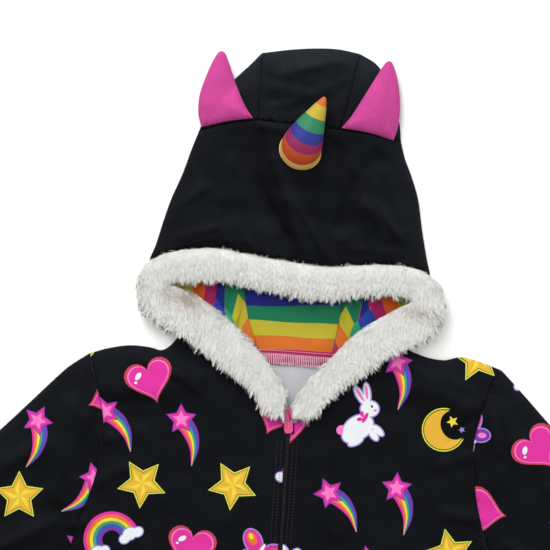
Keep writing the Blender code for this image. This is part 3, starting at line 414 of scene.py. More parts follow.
def upperLoft(points, side):
    reach = distanceTo(points, [seamLine(name + side, 12.0) for name in silhouetteSeams])
    loft = layers["bodyLoft"] * rounded(reach, layers["bodyRim"])
    loft += foldHeight(points, bodyFolds) * rounded(reach, layers["foldFade"])
    creases = bodyCreaseDepth * foldHeight(points, bodyCreases)
    return np.maximum(loft + (uneven(points, "body") + creases) * rounded(reach, layers["foldFade"]), 0)


def frontFloor(points, side):
    fromZip = distanceTo(points, [[(centreX(0), 0), (centreX(zipEndY), zipEndY)]])
    loft = upperLoft(points, side) * rounded(fromZip, layers["zipRim"])
    return layers["upperRest"] + loft + zipLift(points)


hoodEdge = ("hood_edge_left", "hood_top_left", "hood_top", "hood_top_right", "hood_edge_right")


def hoodFloor(points):
    reach = distanceTo(points, [seamLine(name, 12.0) for name in hoodEdge])
    loft = layers["hoodLoft"] * rounded(reach, layers["hoodRim"])
    folds = foldHeight(points, hoodFolds) + foldHeight(points, hoodCreases) + uneven(points, "hood")
    return layers["upperRest"] + loft + folds * rounded(reach, layers["foldFade"])


def hoodTop(x, y):
    return float(hoodFloor(np.array([(x, y)]))[0]) + layers["fleece"]


def place(points):
    points = np.atleast_2d(np.array(points, float))
    return (points - np.array([middle[0], middle[1], 0.0])) * mm


# Materials


def linear(code):
    # sRGB hex to linear
    values = [int(code[k : k + 2], 16) / 255 for k in (1, 3, 5)]
    return tuple(v / 12.92 if v <= 0.04045 else ((v + 0.055) / 1.055) ** 2.4 for v in values) + (1.0,)


def addNode(tree, kind, inputs=None, links=None, **settings):
    made = tree.nodes.new(kind)
    for key, value in settings.items():
        setattr(made, key, value)
    for key, value in (inputs or {}).items():
        made.inputs[key].default_value = value
    for key, source in (links or {}).items():
        tree.links.new(source, made.inputs[key])
    return made


def newMaterial(name, shaderInputs):
    made = bpy.data.materials.new(name)
    made.use_nodes = True
    tree = made.node_tree
    tree.nodes.clear()
    shader = addNode(tree, "ShaderNodeBsdfPrincipled", shaderInputs)
    addNode(tree, "ShaderNodeOutputMaterial", links={"Surface": shader.outputs[0]})
    place3d = addNode(tree, "ShaderNodeTexCoord").outputs["Object"]
    return made, tree, shader, place3d


def noise(tree, at, size, detail, **more):
    # tufts, grain or crumples of about this size in mm
    inputs = {"Scale": 1 / (size * mm), "Detail": detail, **more}
    return addNode(tree, "ShaderNodeTexNoise", inputs, {"Vector": at}).outputs["Fac"]


def ribs(tree, at, pitch, direction, **more):
    # ribs, knit columns or twists this many mm apart
    inputs = {"Scale": 1 / (pitch * mm) / 3.14, **more}
    return addNode(tree, "ShaderNodeTexWave", inputs, {"Vector": at}, wave_type="BANDS",
                   bands_direction=direction).outputs["Fac"]


def bumps(tree, shader, *reliefs):
    # each relief, coarsest first: its height, depth in mm and strength
    below = {}
    for height, depth, strength in reliefs:
        relief = addNode(tree, "ShaderNodeBump", {"Distance": depth * mm, "Strength": strength},
                         {"Height": height, **below})
        below = {"Normal": relief.outputs[0]}
    tree.links.new(below["Normal"], shader.inputs["Normal"])


def mapped(tree, source, low, high, start=0.0, end=1.0):
    inputs = {"From Min": start, "From Max": end, "To Min": low, "To Max": high}
    return addNode(tree, "ShaderNodeMapRange", inputs, {"Value": source}).outputs[0]


# Polyester microfleece, brushed on the face: the short nap scatters light, so it is matt with a soft pale
# bloom where it turns away, and the nap lies in patches a few millimetres across
fleeceLook = {
    "roughness": 0.9, "specular": 0.09, "sheen": 0.04, "sheenRoughness": 0.5,
    "nap": 1.3,         # mm, fibre tufts; real ones are about 0.5, drawn coarser so that they show
    "napDepth": 0.16,   # mm
    "patch": 14.0,      # mm, where the nap is stroked one way or the other
    "patchDepth": 0.25,
    "mottle": 0.25,
    "stroke": 45.0,     # mm, broad areas where the stroked nap looks paler
    "strokeShade": 0.5,
    "paintedSlopeLight": 1.8,  # painted light: slopes that face the lamps up by the hood are painted paler, those turned away darker
    # the way towards the lamps along which the painted light is measured
    "paintedLightWay": (0.2, 0.96, 0.0),
}


def fleece(name, colour, change=None, sheenColour="#aab4c4", mottled=False):
    look = {**fleeceLook, **(change or {})}
    made, tree, shader, at = newMaterial(name, {
        "Base Color": linear(colour), "Roughness": look["roughness"], "Sheen Weight": look["sheen"],
        "Sheen Roughness": look["sheenRoughness"], "Sheen Tint": linear(sheenColour),
        "Specular IOR Level": look["specular"], "IOR": 1.5,
    })
    nap = noise(tree, at, look["nap"], 3.0, Roughness=0.65)
    patch = noise(tree, at, look["patch"], 2.0)
    bumps(tree, shader, (patch, look["patchDepth"], 0.6), (nap, look["napDepth"], 0.8))
    rough = mapped(tree, nap, look["roughness"] - 0.07, look["roughness"] + 0.07, 0.3, 0.7)
    tree.links.new(rough, shader.inputs["Roughness"])
    if mottled:
        # the colour varies with the tufts and with how broad areas are stroked, and painted light makes slopes
        # that face the lamps paler
        base = linear(colour)[:3]
        deep = tuple(v * (1 - look["mottle"]) for v in base) + (1.0,)
        pale = tuple(min(1.0, v * (1 + look["mottle"])) for v in base) + (1.0,)
        shade = addNode(tree, "ShaderNodeMix", {"A": deep, "B": pale}, {"Factor": nap}, data_type="RGBA")
        stroke = noise(tree, at, look["stroke"], 4.0, Roughness=0.6, Distortion=1.2)
        level = mapped(tree, stroke, 1.0, 1.0 + look["strokeShade"], 0.35, 0.7)
        # painted light: how far the surface turns towards the lamps sets how much paler or darker it is painted
        facing = addNode(tree, "ShaderNodeVectorMath", {1: look["paintedLightWay"]},
                         {0: addNode(tree, "ShaderNodeTexCoord").outputs["Normal"]}, operation="DOT_PRODUCT")
        darkest, palest = max(0.2, 1 - 0.6 * look["paintedSlopeLight"]), 1 + look["paintedSlopeLight"]
        slope = mapped(tree, facing.outputs["Value"], darkest, palest, -0.3, 0.4)
        both = addNode(tree, "ShaderNodeMath", {}, {0: level, 1: slope}, operation="MULTIPLY")
        lit = addNode(tree, "ShaderNodeVectorMath", {}, {0: shade.outputs["Result"], 1: both.outputs[0]},
                      operation="MULTIPLY")
        tree.links.new(lit.outputs[0], shader.inputs["Base Color"])
    return made


blackFleece = fleece("blackFleece", "#06070a", mottled=True)
# the hood's gusset and sides: a paler copy of the black fleece, painted light where the crown faces the lamps
paintedLitCrownFleece = fleece("paintedLitCrownFleece", "#090b0e", mottled=True)

# Sublimation print on the same fleece: the ink dyes the nap and adds no gloss
inkColours = {
    "gold": "#cfa236", "lime": "#c3cb48", "magenta": "#c9308e", "rose": "#e06fb4", "crimson": "#b23a52",
    "white": "#d3d8d8", "lilac": "#8f7cc0", "orange": "#cf6a2a", "yellow": "#d8c33c", "green": "#3e9566",
    "blue": "#3a50a6", "violet": "#6a3592",
}
printInk = {name: fleece("fleecePrint" + name.capitalize(), colour) for name, colour in inkColours.items()}
printInk["ground"] = blackFleece

# Brushed cotton-blend reverse in grey heather: pale and dark fibres spun together
greyHeather = fleece("greyHeatherReverse", "#afafb4", {
    "specular": 0.2, "sheen": 0.1, "nap": 1.0, "napDepth": 0.14, "patch": 9.0, "patchDepth": 0.1,
    "mottle": 0.16, "stroke": 30.0, "strokeShade": 0.06, "paintedSlopeLight": 0.1,
}, mottled=True)

# Wool-blend felt of the ears: dense, matt, with short fibres matted every way
pinkFelt = fleece("pinkFelt", "#ab3a7d", {
    "roughness": 0.92, "specular": 0.2, "sheen": 0.16, "nap": 1.7, "napDepth": 0.3, "patch": 8.0,
    "patchDepth": 0.3, "mottle": 0.3, "stroke": 20.0, "strokeShade": 0.1, "paintedSlopeLight": 0.1,
}, sheenColour="#ff9fd6", mottled=True)

# Polyester satin-back jersey of the lining: flat dyed stripes, smoother than the fleece, faint knit columns
jerseyLook = {
    "roughness": 0.62,
    "column": 1.0,  # mm between knit columns; real ones are 0.6, drawn coarser so that they show
    "columnDepth": 0.08,
    "crumple": 16.0,
    "crumpleDepth": 0.35,
}
# blue and the lit green are painted light: paler copies of indigo and green for the side patches that lie on
# the lit side of a fold
liningColours = {
    "indigo": "#1b2170", "blue": "#283d98", "green": "#176c49", "teal": "#2c966d", "yellow": "#a89f2c",
    "orange": "#bf6426", "deepOrange": "#c8561c", "magenta": "#9c1f56",
}


def jersey(name, colour):
    look = jerseyLook
    made, tree, shader, at = newMaterial(name, {
        "Base Color": linear(colour), "Roughness": look["roughness"], "Specular IOR Level": 0.1, "IOR": 1.5,
    })
    columns = ribs(tree, at, look["column"], "X", Distortion=0.6, Detail=1.0)
    crumple = noise(tree, at, look["crumple"], 2.0)
    bumps(tree, shader, (crumple, look["crumpleDepth"], 0.7), (columns, look["columnDepth"], 0.6))
    rough = mapped(tree, crumple, look["roughness"] - 0.05, look["roughness"] + 0.05)
    tree.links.new(rough, shader.inputs["Roughness"])
    return made


liningJersey = {name: jersey("liningJersey" + name[0].upper() + name[1:], colour)
                for name, colour in liningColours.items()}

# Plush acrylic fur: bright off-white fibres, a random share of them a little cooler, and a warm grey painted
# shade for those in the folds at the mouth's corners
furLook = {"white": "#f4f3ee", "cool": "#e9ebe8", "paintedFoldShade": "#bcafa4", "root": "#e4e3dd",
           "roughness": 0.85, "sheen": 0.35, "fibre": 0.9, "fibreDepth": 0.25}


def plush(name, colour):
    made, tree, shader, at = newMaterial(name, {
        "Base Color": linear(colour), "Roughness": furLook["roughness"], "Sheen Weight": furLook["sheen"],
        "Sheen Roughness": 0.35, "Sheen Tint": linear("#ffffff"), "Specular IOR Level": 0.25, "IOR": 1.5,
    })
    bumps(tree, shader, (noise(tree, at, furLook["fibre"], 2.0), furLook["fibreDepth"], 0.5))
    return made


plushWhite = plush("plushFibreWhite", furLook["white"])
plushCool = plush("plushFibreCool", furLook["cool"])
plushPaintedShade = plush("plushFibrePaintedShade", furLook["paintedFoldShade"])
plushRoot = plush("plushBacking", furLook["root"])
print("cloth materials ready")


# Cloth panels


def newObject(name, points, faces, slots, faceSlots, sharpAngle=55):
    mesh = bpy.data.meshes.new(name)
    mesh.from_pydata(place(points).tolist(), [], faces)
    for look in slots:
        mesh.materials.append(look)
    mesh.polygons.foreach_set("material_index", np.array(faceSlots, np.int32))
    mesh.shade_smooth()
    mesh.set_sharp_from_angle(angle=math.radians(sharpAngle))
    mesh.update()
    made = bpy.data.objects.new(name, mesh)
    scene.collection.objects.link(made)
    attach(made, "garment")
    return made


def fixNormals(made):
    work = bmesh.new()
    work.from_mesh(made.data)
    bmesh.ops.recalc_face_normals(work, faces=work.faces)
    work.to_mesh(made.data)
    work.free()


def tubeFaces(rings, sides, first=0):
    # walls between rings of points, and a cap at either end
    faces = []
    for k in range(rings - 1):
        for j in range(sides):
            p, q = first + k * sides + j, first + k * sides + (j + 1) % sides
            faces.append((p, q, q + sides, p + sides))
    near = tuple(range(first, first + sides))
    return faces + [near[::-1], tuple(p + (rings - 1) * sides for p in near)]


def layered(flat, low, top):
    # the points of a closed layer, all those below first
    return [(x, y, z) for height in (low, top) for (x, y), z in zip(flat, height)]


def fillPlan(loop, spacing, art=(), rings=(0.7, 1.9)):
    # triangles that fill an outline, cut along the printed shapes; each keeps the last shape that covers it
    points = [tuple(p) for p in loop]
    closed = ringed(loop)
    for step in rings:
        ring = inset(loop, step)[::2]
        keep = inside(ring, loop) & (distanceTo(ring, [closed]) > 0.85 * step)
        points += [tuple(p) for p in ring[keep]]
    low, high = loop.min(0), loop.max(0)
    rows = np.arange(low[1] + spacing / 2, high[1], spacing * math.sqrt(3) / 2)
    across = np.arange(low[0], high[0], spacing)
    grid = np.array([(x + (k % 2) * spacing / 2, y) for k, y in enumerate(rows) for x in across])
    grid = grid[inside(grid, loop)]
    points += [tuple(p) for p in grid[distanceTo(grid, [closed]) > rings[-1] + 0.4 * spacing]]
    cuts = []
    for polygon, _ in art:
        ids = list(range(len(points), len(points) + len(polygon)))
        cuts += list(zip(ids, ids[1:] + ids[:1]))
        points += [tuple(p) for p in polygon]
    flatPoints = [Vector(p) for p in points]
    found, _, faces, _, _, cover = delaunay_2d_cdt(flatPoints, cuts, [list(range(len(loop)))], 1, 1e-5)
    flat = np.array([tuple(p) for p in found])
    tri = np.array([f for f, c in zip(faces, cover) if 0 in c])
    middles = flat[tri].mean(1)
    ink = np.full(len(tri), "ground", object)
    for polygon, shade in art:
        near = np.where(((middles > polygon.min(0)) & (middles < polygon.max(0))).all(1))[0]
        if len(near):
            ink[near[inside(middles[near], polygon)]] = shade
    ink = ink.tolist()
    ab, ac = flat[tri[:, 1]] - flat[tri[:, 0]], flat[tri[:, 2]] - flat[tri[:, 0]]
    turned = ab[:, 0] * ac[:, 1] - ab[:, 1] * ac[:, 0] < 0
    tri[turned] = tri[turned][:, [0, 2, 1]]
    used, tri = np.unique(tri, return_inverse=True)
    return flat[used], tri.reshape(-1, 3), ink


def rimEdges(tri):
    uses = {(int(f[k]), int(f[(k + 1) % 3])) for f in tri for k in range(3)}
    return sorted((a, b) for a, b in uses if (b, a) not in uses)


def rimDrop(flat, loop, radius=1.25):
    # how far the face rolls down to its edge
    reach = np.minimum(distanceTo(flat, [ringed(loop)]), radius)
    return radius - np.sqrt(np.maximum(radius**2 - (radius - reach) ** 2, 0))


def clothShell(parts, loop, spacing, floorAt, thick, art=(), faceUp=True):
    # adds one closed layer to parts; its face carries the print and its back the reverse
    flat, tri, ink = fillPlan(loop, spacing, art)
    floor = floorAt(flat)
    drop = rimDrop(flat, loop)
    top = floor + thick - (drop if faceUp else 0)
    low = floor + (0 if faceUp else drop)
    gap = top - low < 0.3
    top[gap] = (floor + thick / 2 + 0.15)[gap]
    low[gap] = (floor + thick / 2 - 0.15)[gap]
    base, count = len(parts["points"]), len(flat)
    parts["points"] += layered(flat, low, top)
    up, down = (tri + base + count).tolist(), (tri[:, ::-1] + base).tolist()
    names = ["backs"] * len(tri)
    parts["faces"] += down + up
    parts["inks"] += (names + ink) if faceUp else (ink + names)
    for a, b in rimEdges(tri):
        parts["faces"].append((a + base, b + base, b + base + count, a + base + count))
        parts["inks"].append("ground")


def clothPiece(name, parts, looks, backLook, node):
    used = ["ground"] + sorted(set(parts["inks"]) - {"ground", "backs"})
    slots = [looks[key] for key in used] + [backLook]
    index = {key: k for k, key in enumerate(used)}
    index["backs"] = len(used)
    made = newObject(name, parts["points"], parts["faces"], slots, [index[key] for key in parts["inks"]])
    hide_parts(node)
    return made


def newParts():
    return {"points": [], "faces": [], "inks": []}


# The print: a tossed layout of stars, hearts, rainbows, moons, rabbits, butterflies, daisies, comets and
# big round suns, each about 45 to 65 mm. Every shape is a list of (outline, ink), drawn in that order.
printLayout = {
    "pitch": 80.0,   # mm between motifs along a row
    "row": 65.0,     # mm between rows
    "jitter": 8.0,
    "scale": 0.94,
    "turn": 34.0,    # degrees either way
    "plain": [(-118, 74, 22)],   # spots left bare: x, y, radius
    "filler": ("heart", (-139, 44), 18),
    "order": ["star", "comet", "heart", "rabbit", "comet", "rainbow", "star", "butterfly", "moon", "heart",
              "comet", "star", "daisy", "rainbow", "heart", "sun", "comet"],
}
rainbowInks = ["magenta", "orange", "yellow", "green", "blue", "violet"]


def ovalShape(x, y, halfX, halfY, turn=0.0, step=2.6):
    count = max(8, int(2 * math.pi * max(halfX, halfY) / step))
    angles = np.arange(count) * 2 * math.pi / count
    local = np.stack([halfX * np.cos(angles), halfY * np.sin(angles)], 1)
    return turned(local, turn) + np.array([x, y])


def turned(points, degrees):
    angle = math.radians(degrees)
    c, s = math.cos(angle), math.sin(angle)
    return np.array(points, float) @ np.array([[c, s], [-s, c]])


def starShape(radius, waist=0.46, lean=0.0):
    angles = [math.pi / 2 + k * math.pi / 5 + lean for k in range(10)]
    reach = [1 if k % 2 == 0 else waist for k in range(10)]
    return np.array([(math.cos(a) * radius * r, math.sin(a) * radius * r) for a, r in zip(angles, reach)])


def heartShape(size, count=34):
    t = np.arange(count) * 2 * math.pi / count
    x = 16 * np.sin(t) ** 3
    y = 13 * np.cos(t) - 5 * np.cos(2 * t) - 2 * np.cos(3 * t) - np.cos(4 * t)
    return np.stack([x, y + 2], 1) * size / 32


def starMotif():
    centre = starShape(22)
    rays = [np.array([(0, 0), centre[k], centre[(k + 1) % 10]]) * 0.8 for k in range(0, 10, 2)]
    star = [(starShape(27, 0.5), "lime"), (starShape(24.4, 0.48), "ground"), (starShape(23.4, 0.47), "gold")]
    return star + [(ray, "yellow") for ray in rays]


def heartMotif():
    return [(heartShape(52), "crimson"), (heartShape(46), "rose"), (heartShape(43), "magenta"),
            (ovalShape(-11, 9, 4.6, 2.6, 38), "white"), (ovalShape(-15.4, 3.4, 1.6, 1.3), "white")]


def rainbowMotif():
    shapes = []
    for k, ink in enumerate(rainbowInks):
        radius = 30 - 3.3 * k
        angles = np.linspace(0, math.pi, 18 - k)
        arc = np.stack([radius * np.cos(angles), radius * np.sin(angles)], 1)
        shapes.append((np.vstack([arc, [(-radius, -4), (radius, -4)]]), ink))
    angles = np.linspace(0, math.pi, 12)
    arc = np.stack([10 * np.cos(angles), 10 * np.sin(angles)], 1)
    shapes.append((np.vstack([arc, [(-10, -4.4), (10, -4.4)]]), "ground"))
    for side in (-1, 1):
        for grow, ink in ((1.2, "lilac"), (0, "white")):
            for x, y, r in ((20, -4, 7.5), (12.5, -6, 5.6), (28, -6.5, 5.8)):
                shapes.append((ovalShape(side * x, y, r + grow, r * 0.82 + grow), ink))
    return shapes


def moonMotif():
    outer = np.linspace(math.radians(48), math.radians(312), 26)
    shapes = []
    for grow, ink in ((2.2, "lime"), (0.9, "ground"), (0, "gold")):
        r = 21 + grow
        arc = np.stack([r * np.cos(outer), r * np.sin(outer)], 1)
        tip = arc[0]
        centre = np.array([11.5 - grow * 0.4, 0])
        reach = float(np.linalg.norm(tip - centre))
        start = math.atan2(tip[1] - centre[1], tip[0] - centre[0])
        back = np.linspace(2 * math.pi - start, start, 20)[1:-1]
        bite = centre + np.stack([reach * np.cos(back), reach * np.sin(back)], 1) * [0.86, 1]
        shapes.append((np.vstack([arc, bite]), ink))
    shapes.append((starShape(6.5) + [12, 4], "yellow"))
    shapes.append((starShape(3.6) + [17.5, -8], "lilac"))
    return shapes


def rabbitMotif():
    body = [(-4, -6, 17, 12, 12), (14, 9, 9.4, 8.2, -20), (9, 25, 3.6, 11.5, 14), (16.5, 25.5, 3.4, 11, -12),
            (-14, -11, 9, 8, 0), (-11, -19, 8.5, 3.6, 8), (9, -18, 3.4, 7.5, 18), (15, -15.5, 3.2, 7.5, 28)]
    shapes = [(ovalShape(x, y, a + 1.5, b + 1.5, t), "lilac") for x, y, a, b, t in body]
    shapes += [(ovalShape(-21.5, -3, 5.6, 5.2), "rose")]
    shapes += [(ovalShape(x, y, a, b, t), "white") for x, y, a, b, t in body]
    shapes += [(ovalShape(9, 26, 1.6, 8, 14), "rose"), (ovalShape(16.4, 26.4, 1.5, 7.6, -12), "rose"),
               (ovalShape(17, 10.6, 1.2, 1.5), "ground"), (ovalShape(19.2, 5.6, 2.0, 1.5), "rose"),
               (ovalShape(6.5, 1.5, 6.2, 2.2, 42), "magenta"), (ovalShape(4.5, 6.2, 3.4, 2.2, 80), "magenta"),
               (ovalShape(0.5, 1.8, 3.4, 2.2, -10), "magenta")]
    return shapes


def butterflyMotif():
    shapes = []
    for grow, upper, lower in ((1.4, "lilac", "lilac"), (0, "magenta", "violet")):
        for side in (-1, 1):
            shapes.append((ovalShape(side * 12.5, 8, 13 + grow, 8.8 + grow, side * 34), upper))
            shapes.append((ovalShape(side * 9.5, -9, 9.4 + grow, 6.6 + grow, side * -42), lower))
    for side in (-1, 1):
        shapes.append((ovalShape(side * 15, 9.6, 7.4, 4.6, side * 34), "orange"))
        shapes.append((ovalShape(side * 17, 11, 3.6, 2.4, side * 34), "yellow"))
        shapes.append((ovalShape(side * 10.5, -10, 4.6, 3.0, side * -42), "rose"))
    shapes.append((ovalShape(0, 0, 2.1, 12), "white"))
    return shapes


def daisyMotif():
    shapes = []
    for grow, ink in ((1.3, "lilac"), (0, "white")):
        for k in range(8):
            angle = k * 45
            centre = turned([(14.5, 0)], angle)[0]
            shapes.append((ovalShape(*centre, 9 + grow, 5 + grow, angle), ink))
    return shapes + [(ovalShape(0, 0, 7.6, 7.6), "orange"), (ovalShape(0, 0.4, 5.8, 5.6), "yellow")]


def cometMotif():
    # a curved tail of six tapering stripes behind a star
    shapes = []
    spine = np.array(smoothLine([(0, 0), (13, -10), (22, -25), (25, -44)], 4.0))
    width = np.interp(np.linspace(0, 1, len(spine)), [0, 0.35, 1], [9.0, 8.0, 0.6])
    edges = beside(spine, 1.0) - spine
    for k, ink in enumerate(["violet", "blue", "green", "yellow", "orange", "magenta"]):
        left = spine + edges * (width * (1 - k / 3))[:, None]
        right = spine + edges * (width * (1 - (k + 1) / 3))[:, None]
        shapes.append((np.vstack([left, right[::-1]]), ink))
    return shapes + [(starShape(17.0, 0.52, 0.3), "violet"), (starShape(15.2, 0.5, 0.3), "magenta"),
                     (starShape(9.5, 0.47, 0.3), "rose")]


def sunMotif():
    shapes = [(ovalShape(*turned([(33, 0)], k * 30)[0], 7.2, 7.2), "blue") for k in range(12)]
    for radius, ink in ((34, "blue"), (31, "white"), (28, "rose"), (24.5, "white"), (22.5, "yellow"),
                        (15, "gold"), (11, "yellow")):
        shapes.append((ovalShape(0, 0, radius, radius), ink))
    return shapes


motifs = {"star": starMotif, "heart": heartMotif, "rainbow": rainbowMotif, "moon": moonMotif,
          "rabbit": rabbitMotif, "butterfly": butterflyMotif, "daisy": daisyMotif, "comet": cometMotif,
          "sun": sunMotif}


def printOver(loop, seed, lean=0.0, mirrored=False, without=()):
    # motifs on a staggered, jittered grid over a plan, along its own grain
    draw = random.Random(seed)
    look = printLayout
    kinds = [kind for kind in look["order"] if kind not in without]
    pivot = loop.mean(0)
    local = turned(loop - pivot, -lean)
    low, high = local.min(0), local.max(0)
    closed = ringed(loop)
    art = []
    start = draw.randrange(len(kinds))
    rows = int((high[1] - low[1]) / look["row"]) + 2
    columns = int((high[0] - low[0]) / look["pitch"]) + 2
    for r in range(rows):
        for c in range(columns):
            x = low[0] + (c + (0.5 if r % 2 else 0.0)) * look["pitch"] + draw.uniform(-1, 1) * look["jitter"]
            y = high[1] - 18 - r * look["row"] + draw.uniform(-1, 1) * look["jitter"]
            turn = draw.uniform(-1, 1) * look["turn"]
            kind = kinds[(start + c * 5 + r * 7) % len(kinds)]
            spot = turned([(x, y)], lean)[0] + pivot
            near = inside(spot[None], loop)[0] or distanceTo(spot, [closed])[0] < 38
            bare = any(math.dist(spot, (px, py)) < radius for px, py, radius in look["plain"])
            if bare or not near:
                continue
            for polygon, ink in motifs[kind]():
                flipped = polygon * look["scale"] * ([-1, 1] if mirrored else [1, 1])
                shape = turned(flipped, turn + lean) + spot
                art.append((shape, ink))
    # one more motif fills the shoulder beside the bare spot
    kind, spot, turn = look["filler"]
    if not mirrored and inside(np.array([spot], float), loop)[0]:
        art += [(turned(polygon * look["scale"], turn) + spot, ink) for polygon, ink in motifs[kind]()]
    return art


# The body: two fronts, the back and its two legs, and the sleeves as flattened tubes
bodyDetail = {"outlineStep": 4.0, "upperSpacing": 5.0, "underSpacing": 26.0, "sleeveSpacing": 4.8}
fleeceThick = layers["fleece"]


def flatAt(height):
    return lambda flat: np.full(len(flat), float(height))


def cutLoop(names):
    return inset(outline(names, bodyDetail["outlineStep"]), layers["seamGap"] / 2)


def makeFronts():
    for side, seed in (("left", 5), ("right", 8)):
        around = ("neck_", "shoulder_", "armhole_", "side_up_", "side_low_", "hem_", "-inseam_", "-front_edge_",
                  "notch_")
        loop = cutLoop([name + side for name in around])
        parts = newParts()
        clothShell(parts, loop, bodyDetail["upperSpacing"], lambda flat: frontFloor(flat, side), fleeceThick,
                   printOver(loop, seed, lean=-2 if side == "left" else 3, without=("sun",)))
        made = clothPiece("frontPanel" + side.capitalize(), parts, printInk, greyHeather, "front_" + side)


def makeBack():
    body = ["back_neck_left", "back_neck_mid", "back_neck_right", "shoulder_right", "armhole_right",
            "side_up_right", "waist_right", "-waist_left", "-side_up_left", "-armhole_left", "-shoulder_left"]
    pieces = [("backPanel", body, "back_body", 13)]
    for side, seed in (("left", 17), ("right", 19)):
        leg = ["waist_" + side, "seat", "inseam_" + side, "-hem_" + side, "-side_low_" + side]
        pieces.append(("backLeg" + side.capitalize(), leg, "back_leg_" + side, seed))
    for name, names, node, seed in pieces:
        loop = cutLoop(names)
        parts = newParts()
        clothShell(parts, loop, bodyDetail["underSpacing"], flatAt(0), fleeceThick,
                   printOver(loop, seed, mirrored=True), faceUp=False)
        made = clothPiece(name, parts, printInk, greyHeather, node)


def sleeveLoop(side):
    outward = -1 if side == "left" else 1
    armhole = beside(seamLine("armhole_" + side, 4.0), outward * layers["seamGap"] / 2)
    top, under = [np.array(seamLine(name + side, 4.0)) for name in ("sleeve_top_", "sleeve_under_")]
    for line, corner in ((top, armhole[0]), (under, armhole[-1])):
        fade = np.clip(1 - np.linalg.norm(line - line[0], axis=1) / 20, 0, 1)[:, None]
        line += (corner - line[0]) * fade
    cuff = evenly([top[-1], under[-1]], 30)
    return anticlockwise(np.vstack([armhole[:-1], under[:-1], cuff[::-1][:-1], top[::-1][:-1]]))


def sleeveFloor(flat, side):
    return layers["upperRest"] + upperLoft(flat, side)


def makeSleeves():
    for side, seed, lean in (("left", 23, -44), ("right", 29, 46)):
        loop = sleeveLoop(side)
        parts = newParts()
        clothShell(parts, loop, bodyDetail["sleeveSpacing"], lambda flat: sleeveFloor(flat, side), fleeceThick,
                   printOver(loop, seed, lean))
        clothShell(parts, loop, bodyDetail["underSpacing"], flatAt(0), fleeceThick,
                   printOver(loop, seed + 1, lean, mirrored=True), faceUp=False)
        made = clothPiece("sleeve" + side.capitalize(), parts, printInk, greyHeather, "sleeve_" + side)


# The hood: a front band, a centre gusset and two sides that turn over its crown, all in plain black fleece, the
# gusset and sides in its paler copy as painted light on the crown
hoodDetail = {"upperSpacing": 3.0, "underSpacing": 20.0}


# each piece: its name, the seams round its upper layer and, where it turns over the crown, round its lower one
hoodPieces = {
    "hood_front": ("hoodFront", ["fur_seam", "hood_part_right", "-ear_seam_right", "-ear_seam_mid",
                                 "-ear_seam_left", "-hood_part_left"], None),
    "hood_centre": ("hoodGusset", ["ear_seam_mid", "gusset_up_right", "-hood_top", "-gusset_up_left"],
                    ["back_neck_mid", "gusset_low_right", "-hood_top", "-gusset_low_left"]),
    "hood_side_left": ("hoodSideLeft", ["ear_seam_left", "gusset_up_left", "-hood_top_left"],
                       ["hood_edge_left", "hood_top_left", "-gusset_low_left", "-back_neck_left"]),
    "hood_side_right": ("hoodSideRight", ["ear_seam_right", "-hood_top_right", "-gusset_up_right"],
                        ["back_neck_right", "-hood_edge_right", "-hood_top_right", "-gusset_low_right"]),
}


def makeHood():
    for node, (title, upper, lower) in hoodPieces.items():
        parts = newParts()
        loops = [cutLoop(upper)]
        clothShell(parts, loops[0], hoodDetail["upperSpacing"], hoodFloor, fleeceThick)
        if lower:
            loops.append(cutLoop(lower))
            clothShell(parts, loops[1], hoodDetail["underSpacing"], flatAt(0), fleeceThick, faceUp=False)
        cloth = blackFleece if node == "hood_front" else paintedLitCrownFleece
        made = clothPiece(title, parts, {"ground": cloth}, blackFleece, node)


# The lining: rainbow jersey in a centre strip and two sides, its stripes cut as they lie in the mouth
liningBands = [
    # height of each band's upper edge at the left seam and at the right one, from the neck up
    ("magenta", 76.5, 73.0), ("orange", 90.5, 86.2), ("yellow", 105.2, 100.6), ("green", 118.8, 119.6),
    ("indigo", 136.0, 137.0), ("magenta", 152.0, 153.0), ("orange", 168.0, 169.0), ("yellow", 184.0, 185.0),
    ("green", 200.0, 201.0), ("indigo", 217.0, 218.0), ("magenta", 234.0, 235.0), ("orange", 251.0, 252.0),
    ("yellow", 268.0, 269.0), ("green", 285.0, 286.0), ("indigo", 302.0, 303.0), ("magenta", 319.0, 320.0),
    ("orange", 336.0, 337.0), ("yellow", 372.0, 373.0),
]
liningFolds = [
    (-52, 134, -56, 98, 4.5, 2.6), (-46, 132, -31, 68, 3.5, -1.2), (-70, 138, -57, 106, 5.0, 1.2),
    (56, 121, 62, 92, 4.5, 2.6), (47, 124, 42, 72, 3.5, -1.2), (84, 126, 68, 100, 5.0, 1.2),
    (14, 84, 34, 78, 4.0, 0.9), (-20, 112, 30, 104, 5.0, 0.6),
]
